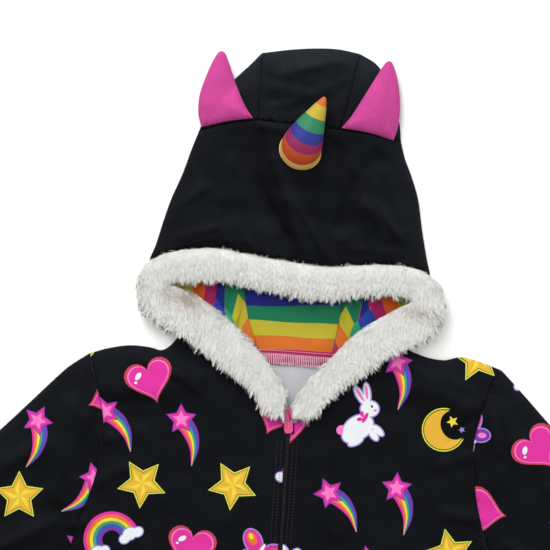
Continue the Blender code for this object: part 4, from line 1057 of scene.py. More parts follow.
# in the side patches, blue and the lit green are painted light on the lower side of a fold; above it the
# stripes keep indigo and green
leftPatches = [
    ([(-130, 152), (-98.5, 152), (-98, 141), (-96.5, 132), (-104, 116), (-130, 116)], "yellow"),
    ([(-98.5, 152), (-84.2, 152), (-84.2, 139.7), (-86.3, 125),
      (-89, 108), (-104, 116), (-96.5, 132), (-98, 141)], "deepOrange"),
    ([(-84.2, 152), (-72.5, 152), (-72.5, 139.7), (-76, 117),
      (-79, 100), (-89, 108), (-86.3, 125), (-84.2, 139.7)], "magenta"),
    ([(-72.5, 152), (-65, 152), (-65, 139.7), (-65.6, 116),
      (-70, 122), (-74.5, 128), (-72.5, 139.7)], "indigo"),
    ([(-74.5, 128), (-65.6, 116), (-64.6, 105), (-68, 92), (-79, 100), (-76, 117)], "blue"),
    ([(-65, 152), (-51.7, 152), (-51.7, 132), (-57.6, 109), (-65.4, 118), (-65, 139.7)], "green"),
    ([(-65.4, 118), (-57.6, 109), (-54.6, 97), (-60, 84), (-68, 92), (-64.6, 105)], "teal"),
    ([(-51.7, 152), (-42, 152), (-42, 131), (-45.6, 123.6), (-51.7, 131.6)], "green"),
    ([(-51.7, 131.6), (-45.6, 123.6), (-39.4, 113), (-50, 93.8),
      (-58, 84), (-54.6, 97), (-57.6, 109)], "yellow"),
    ([(-39.4, 113), (-33.0, 84.7), (-38.2, 79.2), (-48, 70), (-62, 76), (-50, 93.8)], "orange"),
    ([(-33.0, 84.7), (-24, 60), (-60, 60), (-48, 70), (-38.2, 79.2)], "magenta"),
]
# here too, blue and the lit green are painted light on the lower side of a fold
rightPatches = [
    ([(107, 150), (135, 150), (135, 112), (112, 106), (108.6, 119.6), (107, 126)], "yellow"),
    ([(91, 150), (107, 150), (107, 126), (108.6, 119.6),
      (112, 106), (99, 100), (95.6, 112), (91.4, 125)], "deepOrange"),
    ([(77.5, 150), (91, 150), (91.4, 125), (95.6, 112),
      (99, 100), (88, 94), (81.6, 114.8), (78.2, 123)], "magenta"),
    ([(72.5, 150), (77.5, 150), (78.2, 123), (79, 116), (69.5, 106.6), (72.5, 124)], "indigo"),
    ([(69.5, 106.6), (79, 116), (81.6, 114.8), (86.6, 105), (88, 94), (76, 84), (67.5, 102)], "blue"),
    ([(55.8, 150), (72.5, 150), (72.5, 124), (67.5, 104), (64, 101.5), (55.8, 118.8)], "green"),
    ([(64, 101.5), (67.5, 104), (71.6, 94), (76, 84), (64, 78), (59.4, 90)], "teal"),
    ([(46, 150), (55.8, 150), (55.8, 118.8), (49.4, 108.6), (46, 125)], "green"),
    ([(49.4, 108.6), (55.8, 118.8), (64, 101.5), (59.4, 90), (64, 78), (50, 99.5)], "yellow"),
    ([(46, 125), (49.4, 108.6), (50, 99.5), (64, 78), (52, 70), (45.6, 82)], "orange"),
    ([(45.6, 82), (52, 70), (56, 58), (36, 58)], "magenta"),
]


def liningFloor(flat):
    rise = foldHeight(flat, liningFolds) + uneven(flat, "lining")
    return layers["upperRest"] + np.maximum(rise, -0.2) + 0.25


def stripesAcross(loop):
    low, high = loop[:, 0].min() - 4, loop[:, 0].max() + 4
    leftSeamX, stripWidth = -41, 86
    art, below = [], (40.0, 40.0)
    for ink, left, right in liningBands:
        edges = []
        for y0, y1 in (below, (left, right)):
            slope = (y1 - y0) / stripWidth
            edges.append([(x, y0 + slope * (x - leftSeamX) + 0.5 * math.sin(x / 11 + y0))
                          for x in np.linspace(low, high, 14)])
        art.append((np.array(edges[0] + edges[1][::-1]), ink))
        below = (left, right)
    return art


liningPieces = {
    "lining_centre": ("liningCentre", ["lining_neck_mid", "lining_seam_right", "-lining_top",
                                       "-lining_seam_left"]),
    "lining_left": ("liningSideLeft", ["lining_edge_left", "-lining_seam_left", "-lining_neck_left"]),
    "lining_right": ("liningSideRight", ["lining_neck_right", "-lining_edge_right", "-lining_seam_right"]),
}
# the stripes of the sides above the mouth: x where they start and their width, at the seam, and their inks
sideStripes = {"start": 46, "width": 15, "inks": ["green", "indigo", "magenta", "deepOrange", "yellow"]}


def stripesUp(lean, sign):
    art = []
    for k in range(-1, 9):
        x0 = sign * (sideStripes["start"] + sideStripes["width"] * k)
        x1 = x0 + sign * sideStripes["width"]
        strip = [(x0, 60), (x1, 60), (x1 + lean * 320, 380), (x0 + lean * 320, 380)]
        art.append((np.array(strip, float), sideStripes["inks"][k % 5]))
    return art


def makeLining():
    for node, (title, names) in liningPieces.items():
        loop = cutLoop(names)
        if node == "lining_centre":
            art = stripesAcross(loop)
        else:
            patches = leftPatches if node == "lining_left" else rightPatches
            art = stripesUp(0.22, -1) if node == "lining_left" else stripesUp(-0.2, 1)
            art += [(np.array(p, float), ink) for p, ink in patches]
        parts = newParts()
        clothShell(parts, loop, 3.4, liningFloor, layers["lining"], art)
        looks = {**liningJersey, "ground": liningJersey["orange"]}
        made = clothPiece(title, parts, looks, liningJersey["orange"], node)


# The fur band: a soft rolled core of backing, and short tufted fibres combed down and outwards over it
furBand = {
    "core": 3.4,           # mm of fibre beyond the core, across
    "coreHigh": 2.8,       # and above it
    "shift": (2.4, 3.0),   # mm that the core lies away from the edge that the fibres fall over: below, above
    "fibres": 154000,
    "pieces": 3,
    "tufts": 7000,
    "length": (4.2, 7.2),  # mm
    "uneven": 0.25,        # how far tufts differ in length
    "spikes": 0.4,         # share of the tufts along the lower edges that hang out further,
    "spikeLength": 0.45,   # and by how much
    "width": 0.3,          # mm at the root; real fibres are far finer, drawn thicker so that they cover
    "boxy": 0.78,          # below 1 the band's section is fuller than an ellipse
    "lift": 0.42,          # how far they stand off the band
    "down": 0.75,
    "outwards": 0.5,
    "wander": (0.28, 26),  # how far the flow swings to either side, and over how many mm
    "gather": 0.38,        # how far a tuft's tips come together
    "coolShare": 0.35,
    # painted shade, warm grey, in the folds at the mouth's two corners: x, y, lean in degrees, length, width
    # and depth
    "folds": [(-106.0, 128.0, -28.0, 21.0, 7.5, 0.9), (126.0, 114.0, -24.0, 20.0, 7.0, 0.55)],
}
# the pull tab turns through this strip, so no fibre grows there: half width about the zip, and its top
pullStrip = (3.95, 17.8)

# Fibres that close the gap between the band's two ends, low under the pull tab
endFibres = {
    "count": 3600,
    "left": ([6, 10, 25, 36], [-6.8, -6.6, -6.2, -3.6]),     # heights, and the band's inner edge at them
    "right": ([6, 10, 20, 30, 36], [4.0, 3.8, 4.6, 8.4, 12.0]),
    "reach": ([6, 16, 24, 36], [6.6, 6.0, 4.0, 2.4]),        # mm they reach across at those heights
    "low": (3.4, 5.3),                                       # the tab lies at 6.1
}


def furFrames():
    rows = np.array(smoothLine(furRows, 3.4))
    outer, inner = rows[:, 0:2], rows[:, 2:4]
    middleLine, half = (outer + inner) / 2, (outer - inner) / 2
    width = np.linalg.norm(half, axis=1)
    along = np.gradient(middleLine, axis=0)
    along /= np.linalg.norm(along, axis=1)[:, None]
    a = np.maximum(width - furBand["core"], 4.0)
    b = rows[:, 5] / 2 - furBand["coreHigh"]
    outward = half / width[:, None]
    below, above = furBand["shift"]
    low = lowShare(middleLine)
    middleLine = middleLine + outward * (above * (1 - low) - below * low)[:, None]
    return middleLine, outward, along, a, b, rows[:, 4] + rows[:, 5] / 2 - 0.4


def fuller(share):
    return np.sign(share) * np.abs(share) ** furBand["boxy"]


def lowShare(points):
    # 1 on the band's two lower sides, 0 on its upper one
    return np.clip((140 - points[:, 1]) / 26, 0, 1)


def makeFur():
    centre, outward, along, a, b, high = furFrames()
    sides = 28
    angles = np.arange(sides) * 2 * math.pi / sides
    ring = []
    for k in range(len(centre)):
        flat = centre[k] + np.outer(fuller(np.cos(angles)) * a[k], outward[k])
        ring.append(np.column_stack([flat, high[k] + b[k] * fuller(np.sin(angles))]))
    faces = tubeFaces(len(ring), sides)
    core = newObject("furBacking", np.vstack(ring), faces, [plushRoot], [0] * len(faces))
    fixNormals(core)
    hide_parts("fur_trim")

    draw = np.random.default_rng(41)
    count = furBand["fibres"]
    step = np.linalg.norm(np.diff(centre, axis=0), axis=1)
    chance = np.concatenate([[0], np.cumsum(step * (a[1:] + b[1:]))])
    at = np.interp(draw.random(count) * chance[-1], chance, np.arange(len(centre)))
    low = np.clip(at.astype(int), 0, len(centre) - 2)
    part = (at - low)[:, None]

    def between(values):
        values = values if values.ndim == 2 else values[:, None]
        return values[low] * (1 - part) + values[low + 1] * part

    mid, out, run = between(centre), between(outward), between(along)
    wide, tall, level = between(a)[:, 0], between(b)[:, 0], between(high)[:, 0]
    # angles by the length of the section's curve, from under the outer edge over the top to under the inner
    table = np.linspace(math.radians(-48), math.radians(228), 200)
    pace = np.sqrt((15 * np.sin(table)) ** 2 + (6 * np.cos(table)) ** 2)
    share = np.concatenate([[0], np.cumsum((pace[1:] + pace[:-1]) / 2)])
    angle = np.interp(draw.random(count) * share[-1], share, table)
    c, s = np.cos(angle), np.sin(angle)
    root = np.column_stack([mid + out * (wide * fuller(c))[:, None], level + tall * fuller(s)])
    normal = np.column_stack([out * (c / wide)[:, None], s / tall])
    normal /= np.linalg.norm(normal, axis=1)[:, None]
    side3, run3 = np.column_stack([out, np.zeros(count)]), np.column_stack([run, np.zeros(count)])
    # the pile parts near the inner edge of the lower bands and falls both ways
    parted = np.clip(c * 1.2 + 0.5, -0.5, 1.0) * lowShare(mid)
    flow = np.array([0.0, -furBand["down"], 0.0]) + side3 * furBand["outwards"] * parted[:, None]
    swing, over = furBand["wander"]
    flow = flow + run3 * swing * waves(root[:, :2], over, 42)[:, None]
    facingFlow = (flow * normal).sum(1)[:, None]
    # they lie closer where the flow leaves the edge
    lift = furBand["lift"] * np.clip(1 + facingFlow, 0.62, 1)
    lay = flow - normal * facingFlow * 0.55 + normal * lift + draw.normal(0, 0.16, (count, 3))
    lay /= np.linalg.norm(lay, axis=1)[:, None]
    # tufts: each fibre's tip is drawn to its tuft's
    heads = draw.choice(count, furBand["tufts"], replace=False)
    tree = KDTree(len(heads))
    for k, h in enumerate(heads):
        tree.insert(root[h], k)
    tree.balance()
    owner = np.array([heads[tree.find(p)[1]] for p in root])
    length = draw.uniform(*furBand["length"], count)
    length *= (1 + furBand["uneven"] * draw.uniform(-1, 1, count))[owner]
    overEdge = np.clip(facingFlow[:, 0] * 2.4, 0, 1)
    spiked = (draw.random(count) < furBand["spikes"])[owner] * overEdge
    length *= 1 + furBand["spikeLength"] * spiked
    tip = root + lay * length[:, None]
    gather = (furBand["gather"] * draw.uniform(0.5, 1.0, count) + 0.25 * overEdge + 0.2 * spiked)[:, None]
    tip = tip * (1 - gather) + (tip[owner] + (root - root[owner]) * 0.2) * gather
    ceiling = level + tall + furBand["coreHigh"] + 1.6
    tip[:, 2] = np.clip(tip[:, 2], 2.4 + draw.random(count), ceiling)
    knee = root + normal * (length * 0.3)[:, None] + (tip - root) * 0.3
    middles = 0.25 * root + 0.5 * knee + 0.25 * tip
    facing = normal + draw.normal(0, 0.35, (count, 3))
    span = np.cross(tip - root, facing)
    span *= furBand["width"] / 2 / np.maximum(np.linalg.norm(span, axis=1), 1e-9)[:, None]
    fibre = np.stack([root + span, root - span, middles + span * 0.8, middles - span * 0.8, tip], 1)
    nearPull = (np.abs(fibre[:, :, 0] - centreX(0)) < pullStrip[0]) & (fibre[:, :, 1] < pullStrip[1])
    kept = ~nearPull.any(axis=1)
    extra, extraNormal, extraLay = fibresBetweenEnds()
    fibre = np.concatenate([fibre[kept], extra])
    normal = np.concatenate([normal[kept], extraNormal])
    lay = np.concatenate([lay[kept], extraLay])
    count = len(fibre)
    corners = np.array([(0, 1, 3), (0, 3, 2), (2, 3, 4)])
    first = np.cross(fibre[:, 1] - fibre[:, 0], fibre[:, 3] - fibre[:, 0])
    backwards = (first * normal).sum(1) < 0
    soft = normal * 0.55 + lay * 0.1 + np.array([0, 0, 0.4]) + draw.normal(0, 0.12, (count, 3))
    soft /= np.linalg.norm(soft, axis=1)[:, None]
    tone = (draw.random(count) < furBand["coolShare"]).astype(np.int32)
    # painted shade: fibres in the two folds at the mouth's corners, where the upper band shades the lower, take
    # the warm grey shade colour
    for x, y, lean, long, wide, depth in furBand["folds"]:
        spot = turned(fibre[:, 0, :2] - np.array([x, y]), -lean)
        tone[draw.random(count) < depth * np.exp(-((spot / np.array([long, wide])) ** 2).sum(1))] = 2
    for n, chunk in enumerate(np.array_split(np.arange(count), furBand["pieces"])):
        tris = np.tile(corners, (len(chunk), 1, 1))
        flipped = backwards[chunk]
        tris[flipped] = tris[flipped][:, :, ::-1]
        tris = (tris + (np.arange(len(chunk)) * 5)[:, None, None]).reshape(-1, 3)
        mesh = bpy.data.meshes.new("furFibres%d" % (n + 1))
        fillMesh(mesh, place(fibre[chunk].reshape(-1, 3)), tris)
        for look in (plushWhite, plushCool, plushPaintedShade):
            mesh.materials.append(look)
        mesh.polygons.foreach_set("material_index", np.repeat(tone[chunk], 3))
        mesh.shade_smooth()
        mesh.normals_split_custom_set_from_vertices(np.repeat(soft[chunk], 5, axis=0).tolist())
        made = bpy.data.objects.new(mesh.name, mesh)
        scene.collection.objects.link(made)
        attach(made, "garment")


def fibresBetweenEnds():
    look = endFibres
    draw = np.random.default_rng(43)
    count = look["count"]
    y = draw.uniform(7.2, 36, count)
    onLeft = draw.random(count) < 0.5
    way = np.where(onLeft, 1.0, -1.0)
    edge = np.where(onLeft, np.interp(y, *look["left"]), np.interp(y, *look["right"]))
    x = edge - way * draw.uniform(0, 4, count)
    root = np.column_stack([x, y, draw.uniform(*look["low"], count)])
    across = np.interp(y, *look["reach"]) * draw.uniform(0.6, 1.15, count)
    # tufts of a few millimetres lean together
    tuft = waves(root[:, :2], 5.0, 44)
    step = np.column_stack([way * across, -across * (0.45 + 0.35 * tuft + draw.uniform(-0.2, 0.2, count)),
                            draw.uniform(-0.5, 0.3, count)])
    tip = root + step
    tip[:, 1] = np.maximum(tip[:, 1], 5.2)
    halfway = (root + tip) / 2 + [0, 0, 0.4]
    up = np.tile([0.0, 0.0, 1.0], (count, 1))
    span = np.cross(step, up + draw.normal(0, 0.3, (count, 3)))
    span *= furBand["width"] / 2 / np.linalg.norm(span, axis=1)[:, None]
    fibre = np.stack([root + span, root - span, halfway + span * 0.8, halfway - span * 0.8, tip], 1)
    return fibre, up, step / np.linalg.norm(step, axis=1)[:, None]


def fillMesh(mesh, points, tris):
    mesh.vertices.add(len(points))
    mesh.vertices.foreach_set("co", points.astype(np.float32).ravel())
    mesh.loops.add(len(tris) * 3)
    mesh.loops.foreach_set("vertex_index", tris.astype(np.int32).ravel())
    mesh.polygons.add(len(tris))
    mesh.polygons.foreach_set("loop_start", np.arange(0, len(tris) * 3, 3, dtype=np.int32))
    mesh.update(calc_edges=True)


# The ears: two layers of felt with a little filling, turned out through a seam round the edge
earLook = {"lift": 0.9, "low": 9.0, "rim": 3.0, "loft": 8.5, "soft": 9.0, "spacing": 2.8}


def makeEars():
    hoodLoop = outline(["fur_seam", "hood_part_right", "-hood_top_right", "-hood_top", "-hood_top_left",
                        "-hood_part_left"], 12.0)
    for side, seed in (("left", 51), ("right", 52)):
        loop = outline(["ear_side_" + side, "ear_base_" + side], 2.6)
        flat, tri, _ = fillPlan(loop, earLook["spacing"])
        over = np.where(inside(flat, hoodLoop), hoodFloor(flat) + fleeceThick + earLook["lift"], 0)
        floor = np.maximum(over, earLook["low"])
        reach = distanceTo(flat, [ringed(loop)])
        dents = 0.55 * waves(flat, 24, seed) * rounded(reach, 8.0)
        drop = rimDrop(flat, loop, 1.4)
        top = floor + earLook["rim"] + earLook["loft"] * rounded(reach, earLook["soft"]) + dents - drop
        count = len(flat)
        faces = tri[:, ::-1].tolist() + (tri + count).tolist()
        faces += [(p, q, q + count, p + count) for p, q in rimEdges(tri)]
        points = layered(flat, floor + drop, top)
        made = newObject("ear" + side.capitalize(), points, faces, [pinkFelt], [0] * len(faces))
        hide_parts("ear_" + side)


# The horn: a stuffed cone of printed satin that leans up to the right, with an overlocked rim at its seam.
# Satin-back polyester: floats of the weave give it a soft sheen along the light
satinLook = {
    "rim": "#cfa658", "orange": "#ab4113", "magenta": "#7f144a", "blue": "#1d2679", "green": "#1e714c",
    "yellow": "#aa952b", "tip": "#b65c24",
    "roughness": 0.6, "rib": 0.9, "ribDepth": 0.12, "crumple": 5.0, "crumpleDepth": 0.35,
    "lip": 1.0,  # mm that the overlocked rim stands out round the seam
    "front": (7.1, 256.0),  # the seam's nearest point to the face, from which the stripes are measured
}
# how far up the horn each stripe ends, in mm from the front of its seam
hornStripes = [(2.6, "rim"), (13.0, "orange"), (23.7, "magenta"), (36.0, "blue"), (50.6, "green"),
               (64.8, "yellow"), (99.0, "tip")]


def satin(name, colour):
    look = satinLook
    made, tree, shader, at = newMaterial(name, {
        "Base Color": linear(colour), "Roughness": look["roughness"], "Sheen Weight": 0.06,
        "Sheen Roughness": 0.35, "Specular IOR Level": 0.3, "IOR": 1.5,
    })
    floats = ribs(tree, at, look["rib"], "DIAGONAL", Distortion=1.5, Detail=2.0)
    crumple = noise(tree, at, look["crumple"], 2.0)
    bumps(tree, shader, (crumple, look["crumpleDepth"], 0.6), (floats, look["ribDepth"], 0.6))
    tree.links.new(mapped(tree, crumple, 0.5, 0.65), shader.inputs["Roughness"])
    return made


def makeHorn():
    lean = np.array(hornLean)
    across = np.array([lean[1], -lean[0]])
    seat = hoodTop(hornRows[0][0], hornRows[0][1])
    sides = 44
    angles = np.arange(sides) * 2 * math.pi / sides
    rings, stripe = [], []
    rows = np.array(smoothLine(hornRows, 0.9))
    rows[:, 3] = np.maximum(rows[:, 3], 0.8)
    follow = np.clip(1 - (np.arange(len(rows)) / 9), 0, 1)
    for k, (x, y, height, radius, tilt) in enumerate(rows):
        tilt = math.radians(max(tilt, 0))
        depth = hornBaseDepth + (1 - hornBaseDepth) * (1 - follow[k])
        radius += satinLook["lip"] * (k < 2)
        sideways, forward = radius * np.cos(angles), radius * np.sin(angles) * depth
        flat = np.array([x, y]) + np.outer(sideways, across) + np.outer(forward, lean) * math.cos(tilt)
        level = seat + height - forward * math.sin(tilt)
        onHood = hoodFloor(flat) + fleeceThick + height
        rings.append(np.column_stack([flat, level * (1 - follow[k]) + onHood * follow[k]]))
        reach = float((np.array([x, y]) - satinLook["front"]) @ lean) - radius * depth * math.cos(tilt)
        stripe.append("rim" if k < 2 else next(ink for limit, ink in hornStripes if reach < limit))
    names = [ink for _, ink in hornStripes]
    slots = [names.index(ink) for ink in stripe[:-1] for _ in range(sides)] + [0, len(names) - 1]
    looks = [satin("hornSatin" + ink.capitalize(), satinLook[ink]) for ink in names]
    faces = tubeFaces(len(rings), sides)
    made = newObject("stuffedHorn", np.vstack(rings), faces, looks, slots, sharpAngle=70)
    fixNormals(made)
    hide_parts("horn")


# The zip: woven polyester tape, a nylon coil of two sides, and a slider and pull tab in pink enamel.
# Nylon monofilament is smooth and catches small highlights on each turn of the coil
zipLook = {
    "tapeHalf": 13.0, "tapeThick": 0.7, "topY": 2.0,
    "bare": 4.0,        # mm of tape above the first turn of the coil
    "pitch": 1.35,      # mm from one turn of the coil to the next
    "wire": 0.42,       # mm, half the thickness of a turn
    "reach": 1.9,       # mm, half the coil's width
    # the recess pink is painted shade: a darker pink on the sloped walls of the tab's sunk panels
    "tape": "#17181c", "coil": "#0b0b0d", "enamel": "#e65090", "paintedRecessShade": "#8f1f55",
    "bevel": 0.24,      # mm, on every edge of the slider and the tab
    "panelRim": 0.75, "panelDepth": 0.3,
}


def tapeMaterial():
    made, tree, shader, at = newMaterial("wovenPolyesterTape", {
        "Base Color": linear(zipLook["tape"]), "Roughness": 0.78, "Sheen Weight": 0.15,
        "Specular IOR Level": 0.35, "IOR": 1.5})
    bumps(tree, shader, (ribs(tree, at, 0.8, "DIAGONAL", Distortion=0.3), 0.12, 0.8))
    return made


def enamelMaterial(name, colour):
    # spray enamel over die-cast zinc: a smooth coloured coat with faint orange peel, glossy but not a mirror
    made, tree, shader, at = newMaterial(name, {
        "Base Color": linear(colour), "Roughness": 0.32, "Coat Weight": 0.35, "Coat Roughness": 0.12,
        "Specular IOR Level": 0.5, "IOR": 1.5})
    peel = noise(tree, at, 1.4, 1.0)
    bumps(tree, shader, (peel, 0.05, 0.4))
    tree.links.new(mapped(tree, peel, 0.26, 0.4), shader.inputs["Roughness"])
    return made


def nylonMaterial():
    made, tree, shader, at = newMaterial("nylonCoil", {
        "Base Color": linear(zipLook["coil"]), "Roughness": 0.5, "Specular IOR Level": 0.3, "IOR": 1.53})
    tree.links.new(mapped(tree, noise(tree, at, 0.7, 1.0), 0.36, 0.5), shader.inputs["Roughness"])
    return made


def makeZip():
    base = layers["upperRest"]
    ys = np.linspace(zipLook["topY"], zipEndY, 90)
    half, thick = zipLook["tapeHalf"], zipLook["tapeThick"]
    profile = [(-half, 0), (half, 0), (half, thick * 0.7), (half - 0.3, thick), (-half + 0.3, thick),
               (-half, thick * 0.7)]
    points = [(centreX(y) + x, y, base + z) for y in ys for x, z in profile]
    faces = tubeFaces(len(ys), len(profile))
    slots = [0] * len(faces)
    # turns of the coil: small rounded bars that reach in from either side, one after the other
    pitch, firstY = zipLook["pitch"], zipLook["topY"] - zipLook["bare"]
    for k in range(int((firstY - zipEndY) / pitch)):
        for sign in (-1, 1):
            y = firstY - k * pitch - (pitch / 2 if sign > 0 else 0)
            outer = (centreX(y) + sign * zipLook["reach"], y, base + thick + 0.55)
            inner = (centreX(y) - sign * 0.7, y, base + thick + 0.85)
            addBar(points, faces, slots, outer, inner, zipLook["wire"], 0.62, 1)
    made = newObject("zipTapeAndCoil", points, faces, [tapeMaterial(), nylonMaterial()], slots, sharpAngle=50)
    fixNormals(made)
    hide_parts("zip_chain")


def addBar(points, faces, slots, start, end, wide, high, slot):
    # a six-sided bar with blunt ends between two points in plan
    start, end = np.array(start, float), np.array(end, float)
    run = end - start
    run /= np.linalg.norm(run)
    sideways = np.array([-run[1], run[0], 0.0])
    up = np.cross(run, sideways)
    up *= np.sign(up[2]) or 1
    first = len(points)
    for centre, size in ((start, 0.55), (start + run * 0.3, 1.0), (end - run * 0.3, 1.0), (end, 0.55)):
        for k in range(6):
            angle = k * math.pi / 3
            spot = centre + sideways * wide * size * math.cos(angle) + up * high * size * math.sin(angle)
            points.append(tuple(spot))
    bar = tubeFaces(4, 6, first)
    faces += bar
    slots += [slot] * len(bar)


def panelled(mesh):
    # each broad face of the tab is a shallow panel inside a raised rim
    work = bmesh.new()
    work.from_mesh(mesh)
    for way in (1, -1):
        broad = max((f for f in work.faces if f.normal.z * way > 0.9), key=lambda f: f.calc_area())
        for wide, deep in ((zipLook["panelRim"], 0.0), (0.2, -zipLook["panelDepth"])):
            walls = bmesh.ops.inset_region(work, faces=[broad], thickness=wide * mm, depth=deep * mm,
                                           use_even_offset=True)
        # painted shade: the panel's sunk walls take the darker pink
        for face in walls["faces"]:
            face.material_index = 1
    work.to_mesh(mesh)
    work.free()


def makeSliderAndPull():
    looks = [enamelMaterial("pinkEnamelOnZinc", zipLook["enamel"]),
             enamelMaterial("pinkEnamelPaintedRecessShade", zipLook["paintedRecessShade"])]
    for node, title, body in (("zip_slider", "zipSliderLacquered", "garment"),
                              ("zip_pull", "zipPullTab", "zip_pull")):
        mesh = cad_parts[node].data.copy()
        mesh.name = title
        work = bmesh.new()
        work.from_mesh(mesh)
        bmesh.ops.remove_doubles(work, verts=work.verts, dist=1e-6)
        bmesh.ops.dissolve_limit(work, angle_limit=math.radians(2), verts=work.verts, edges=work.edges)
        sharp = [e for e in work.edges if e.is_manifold and e.calc_face_angle(0) > math.radians(25)]
        bmesh.ops.bevel(work, geom=sharp, offset=zipLook["bevel"] * mm, segments=3, profile=0.6, affect="EDGES",
                        clamp_overlap=True)
        work.to_mesh(mesh)
        work.free()
        mesh.materials.clear()
        for look in looks:
            mesh.materials.append(look)
        mesh.polygons.foreach_set("material_index", np.zeros(len(mesh.polygons), np.int32))
        if node == "zip_pull":
            panelled(mesh)
        mesh.shade_smooth()
        mesh.set_sharp_from_angle(angle=math.radians(40))
        made = bpy.data.objects.new(title, mesh)
        scene.collection.objects.link(made)
        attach(made, body)
        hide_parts(node)


# Sewing: spun polyester thread, about 0.4 mm thick, drawn 0.5 mm so that it shows
threadLook = {"length": 2.4, "gap": 0.7, "thick": 0.26,
              "black": "#131418", "pale": "#ecc9d6", "pink": "#a52c61"}


def threadMaterial(name, colour):
    made, tree, shader, at = newMaterial(name, {
        "Base Color": linear(colour), "Roughness": 0.6, "Sheen Weight": 0.2, "Specular IOR Level": 0.4,
        "IOR": 1.5})
    bumps(tree, shader, (ribs(tree, at, 0.5, "DIAGONAL"), 0.08, 0.7))
    return made


def stitchRow(points, faces, slots, line, heightAt, **change):
    # stitches one after the other along a plan line, each sunk a little at its ends
    look = {**threadLook, **change}
    length, gap, thick = look["length"], look["gap"], look["thick"]
    line = np.array(line)
    total = float(np.linalg.norm(np.diff(line, axis=0), axis=1).sum())
    count = max(2, int(total / (length + gap)) * 2)
    spots = evenly(line, count)
    heights = heightAt(spots)
    for k in range(0, count - 1, 2):
        a, b = spots[k], spots[k + 1]
        share = length / (length + gap)
        b = a + (b - a) * min(1.0, share * 1.25)
        start, end = (*a, heights[k] + 0.1), (*b, heights[k + 1] + 0.1)
        addBar(points, faces, slots, start, end, thick, thick * 0.8, 0)


def makeStitching():
    black = threadMaterial("spunThreadBlack", threadLook["black"])
    for side, sign in (("left", -1), ("right", 1)):
        points, faces, slots = [], [], []

        def onFront(flat):
            return frontFloor(flat, side) + fleeceThick

        for away in (3.6, 8.0):
            ys = np.linspace(-14, zipEndY - 4, 260)
            stitchRow(points, faces, slots, [(centreX(y) + sign * (slotHalf + away), y) for y in ys], onFront)
        hem = np.array(seams["hem_" + side], float)
        for lift in (20.0, 24.0):
            stitchRow(points, faces, slots, [hem[0] + [0, lift], hem[1] + [0, lift]], onFront)
        made = newObject("topstitching" + side.capitalize(), points, faces, [black], slots, sharpAngle=80)
        fixNormals(made)

        points, faces, slots = [], [], []
        top, under = [np.array(seamLine(n + side, 4.0)) for n in ("sleeve_top_", "sleeve_under_")]
        inward = (top[-6] - top[-1]) / np.linalg.norm(top[-6] - top[-1])
        for lift in (18.0, 22.0):
            row = evenly([top[-1] + inward * lift, under[-1] + inward * lift], 60)
            row = row[inside(row, sleeveLoop(side))]
            stitchRow(points, faces, slots, row, lambda flat: sleeveFloor(flat, side) + fleeceThick)
        made = newObject("cuffStitching" + side.capitalize(), points, faces, [black], slots, sharpAngle=80)
        fixNormals(made)


def makeOverlock():
    # the neck seam inside: a row of chain stitch, then a ladder of overlock over the raw edge
    points, faces, slots = [], [], []

    def above(flat):
        return liningFloor(flat) + layers["lining"] + 0.1

    chain = [(-34, 75.6), (-10, 74.4), (14, 72.6), (44, 70.4)]
    stitchRow(points, faces, slots, smoothLine(chain, 2.0), above, length=1.7, gap=0.6, thick=0.42)
    draw = random.Random(61)
    ladderTop = [(-33, 72.4), (-10, 71.2), (14, 69.2), (44, 66.8)]
    rails = evenly(smoothLine(ladderTop, 2.0), 84)
    for k, (x, y) in enumerate(rails):
        long = 11.2 + draw.uniform(-0.7, 0.7)
        slant = (1.3 if k % 2 else -0.5) + draw.uniform(-0.3, 0.3)
        z = float(above(np.array([(x, y)]))[0]) + 0.25
        thick = 0.3 if k % 2 else 0.36
        addBar(points, faces, slots, (x, y, z), (x + slant, y - long, z - 0.15), thick, 0.34, k % 2)
    for offset, size in ((0.0, 0.36), (-4.6, 0.26), (-9.6, 0.42)):
        line = np.array(smoothLine(ladderTop, 2.0)) + [0.2, offset]
        stitchRow(points, faces, slots, line, lambda flat: above(flat) + 0.45, length=1.2, gap=0.5, thick=size)
    looks = [threadMaterial("woollyThreadPale", threadLook["pale"]),
             threadMaterial("woollyThreadPink", threadLook["pink"])]
    made = newObject("neckOverlock", points, faces, looks, slots, sharpAngle=80)
    fixNormals(made)


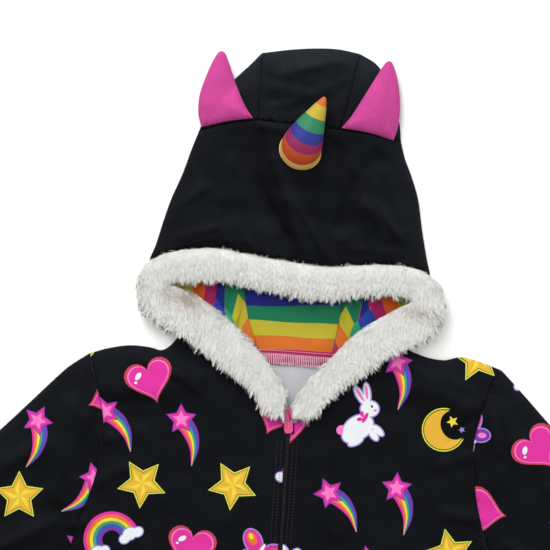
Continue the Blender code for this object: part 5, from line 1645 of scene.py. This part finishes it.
# Floor, light and camera
stageLook = {
    "floor": "#f6f6f5", "floorHalf": 6, "floorZ": -0.0006, "world": 0.6,
    "lens": 200, "sensor": 36, "frame": 0.55,   # mm, mm, and metres across the picture
    "above": (0.002, 0.518),                    # the spot that the camera looks straight down at
    # each lamp: name, place, aim, diameter in metres and watts
    "lamps": [
        ("softboxAbove", (-0.5, 1.5, 2.4), (0.0, 0.45, 0.0), 1.6, 30.0),
        ("softboxLow", (-0.7, 2.4, 1.5), (0.0, 0.5, 0.0), 1.3, 34.0),
        ("softboxSide", (1.7, 0.2, 1.6), (0.0, 0.4, 0.0), 1.2, 8.0),
    ],
}


def makeStage():
    mesh = bpy.data.meshes.new("paleFloor")
    half, z = stageLook["floorHalf"], stageLook["floorZ"]
    corners = [(-half, -half, z), (half, -half, z), (half, half, z), (-half, half, z)]
    mesh.from_pydata(corners, [], [(0, 1, 2, 3)])
    floor = bpy.data.objects.new("paleFloor", mesh)
    scene.collection.objects.link(floor)
    made, tree, shader, at = newMaterial("mattWhiteBoard", {
        "Base Color": linear(stageLook["floor"]), "Roughness": 0.9, "Specular IOR Level": 0.2})
    grain = addNode(tree, "ShaderNodeTexNoise", {"Scale": 60.0}, {"Vector": at})
    tree.links.new(mapped(tree, grain.outputs["Fac"], 0.85, 0.95), shader.inputs["Roughness"])
    mesh.materials.append(made)

    world = bpy.data.worlds.new("softStudio")
    scene.world = world
    world.use_nodes = True
    background = world.node_tree.nodes["Background"]
    background.inputs["Color"].default_value = (1, 1, 1, 1)
    background.inputs["Strength"].default_value = stageLook["world"]

    for name, spot, aim, size, power in stageLook["lamps"]:
        light = bpy.data.lights.new(name, "AREA")
        light.shape = "DISK"
        light.size = size
        light.energy = power
        lamp = bpy.data.objects.new(name, light)
        lamp.location = spot
        lamp.rotation_euler = (Vector(aim) - Vector(spot)).to_track_quat("-Z", "Y").to_euler()
        scene.collection.objects.link(lamp)

    camera = bpy.data.cameras.new("camera")
    camera.lens = stageLook["lens"]
    camera.sensor_width = stageLook["sensor"]
    camera.dof.use_dof = False
    camera.clip_end = 50
    eye = bpy.data.objects.new("camera", camera)
    eye.location = (*stageLook["above"], stageLook["frame"] * stageLook["lens"] / stageLook["sensor"])
    scene.collection.objects.link(eye)
    scene.camera = eye
    scene.view_settings.view_transform = "Standard"


addBodySeams()
makeStage()
makeFronts()
makeBack()
makeSleeves()
print("body ready")
makeHood()
makeLining()
print("hood ready")
makeFur()
print("fur ready")
makeEars()
makeHorn()
makeZip()
makeSliderAndPull()
makeStitching()
makeOverlock()
print("trims ready")
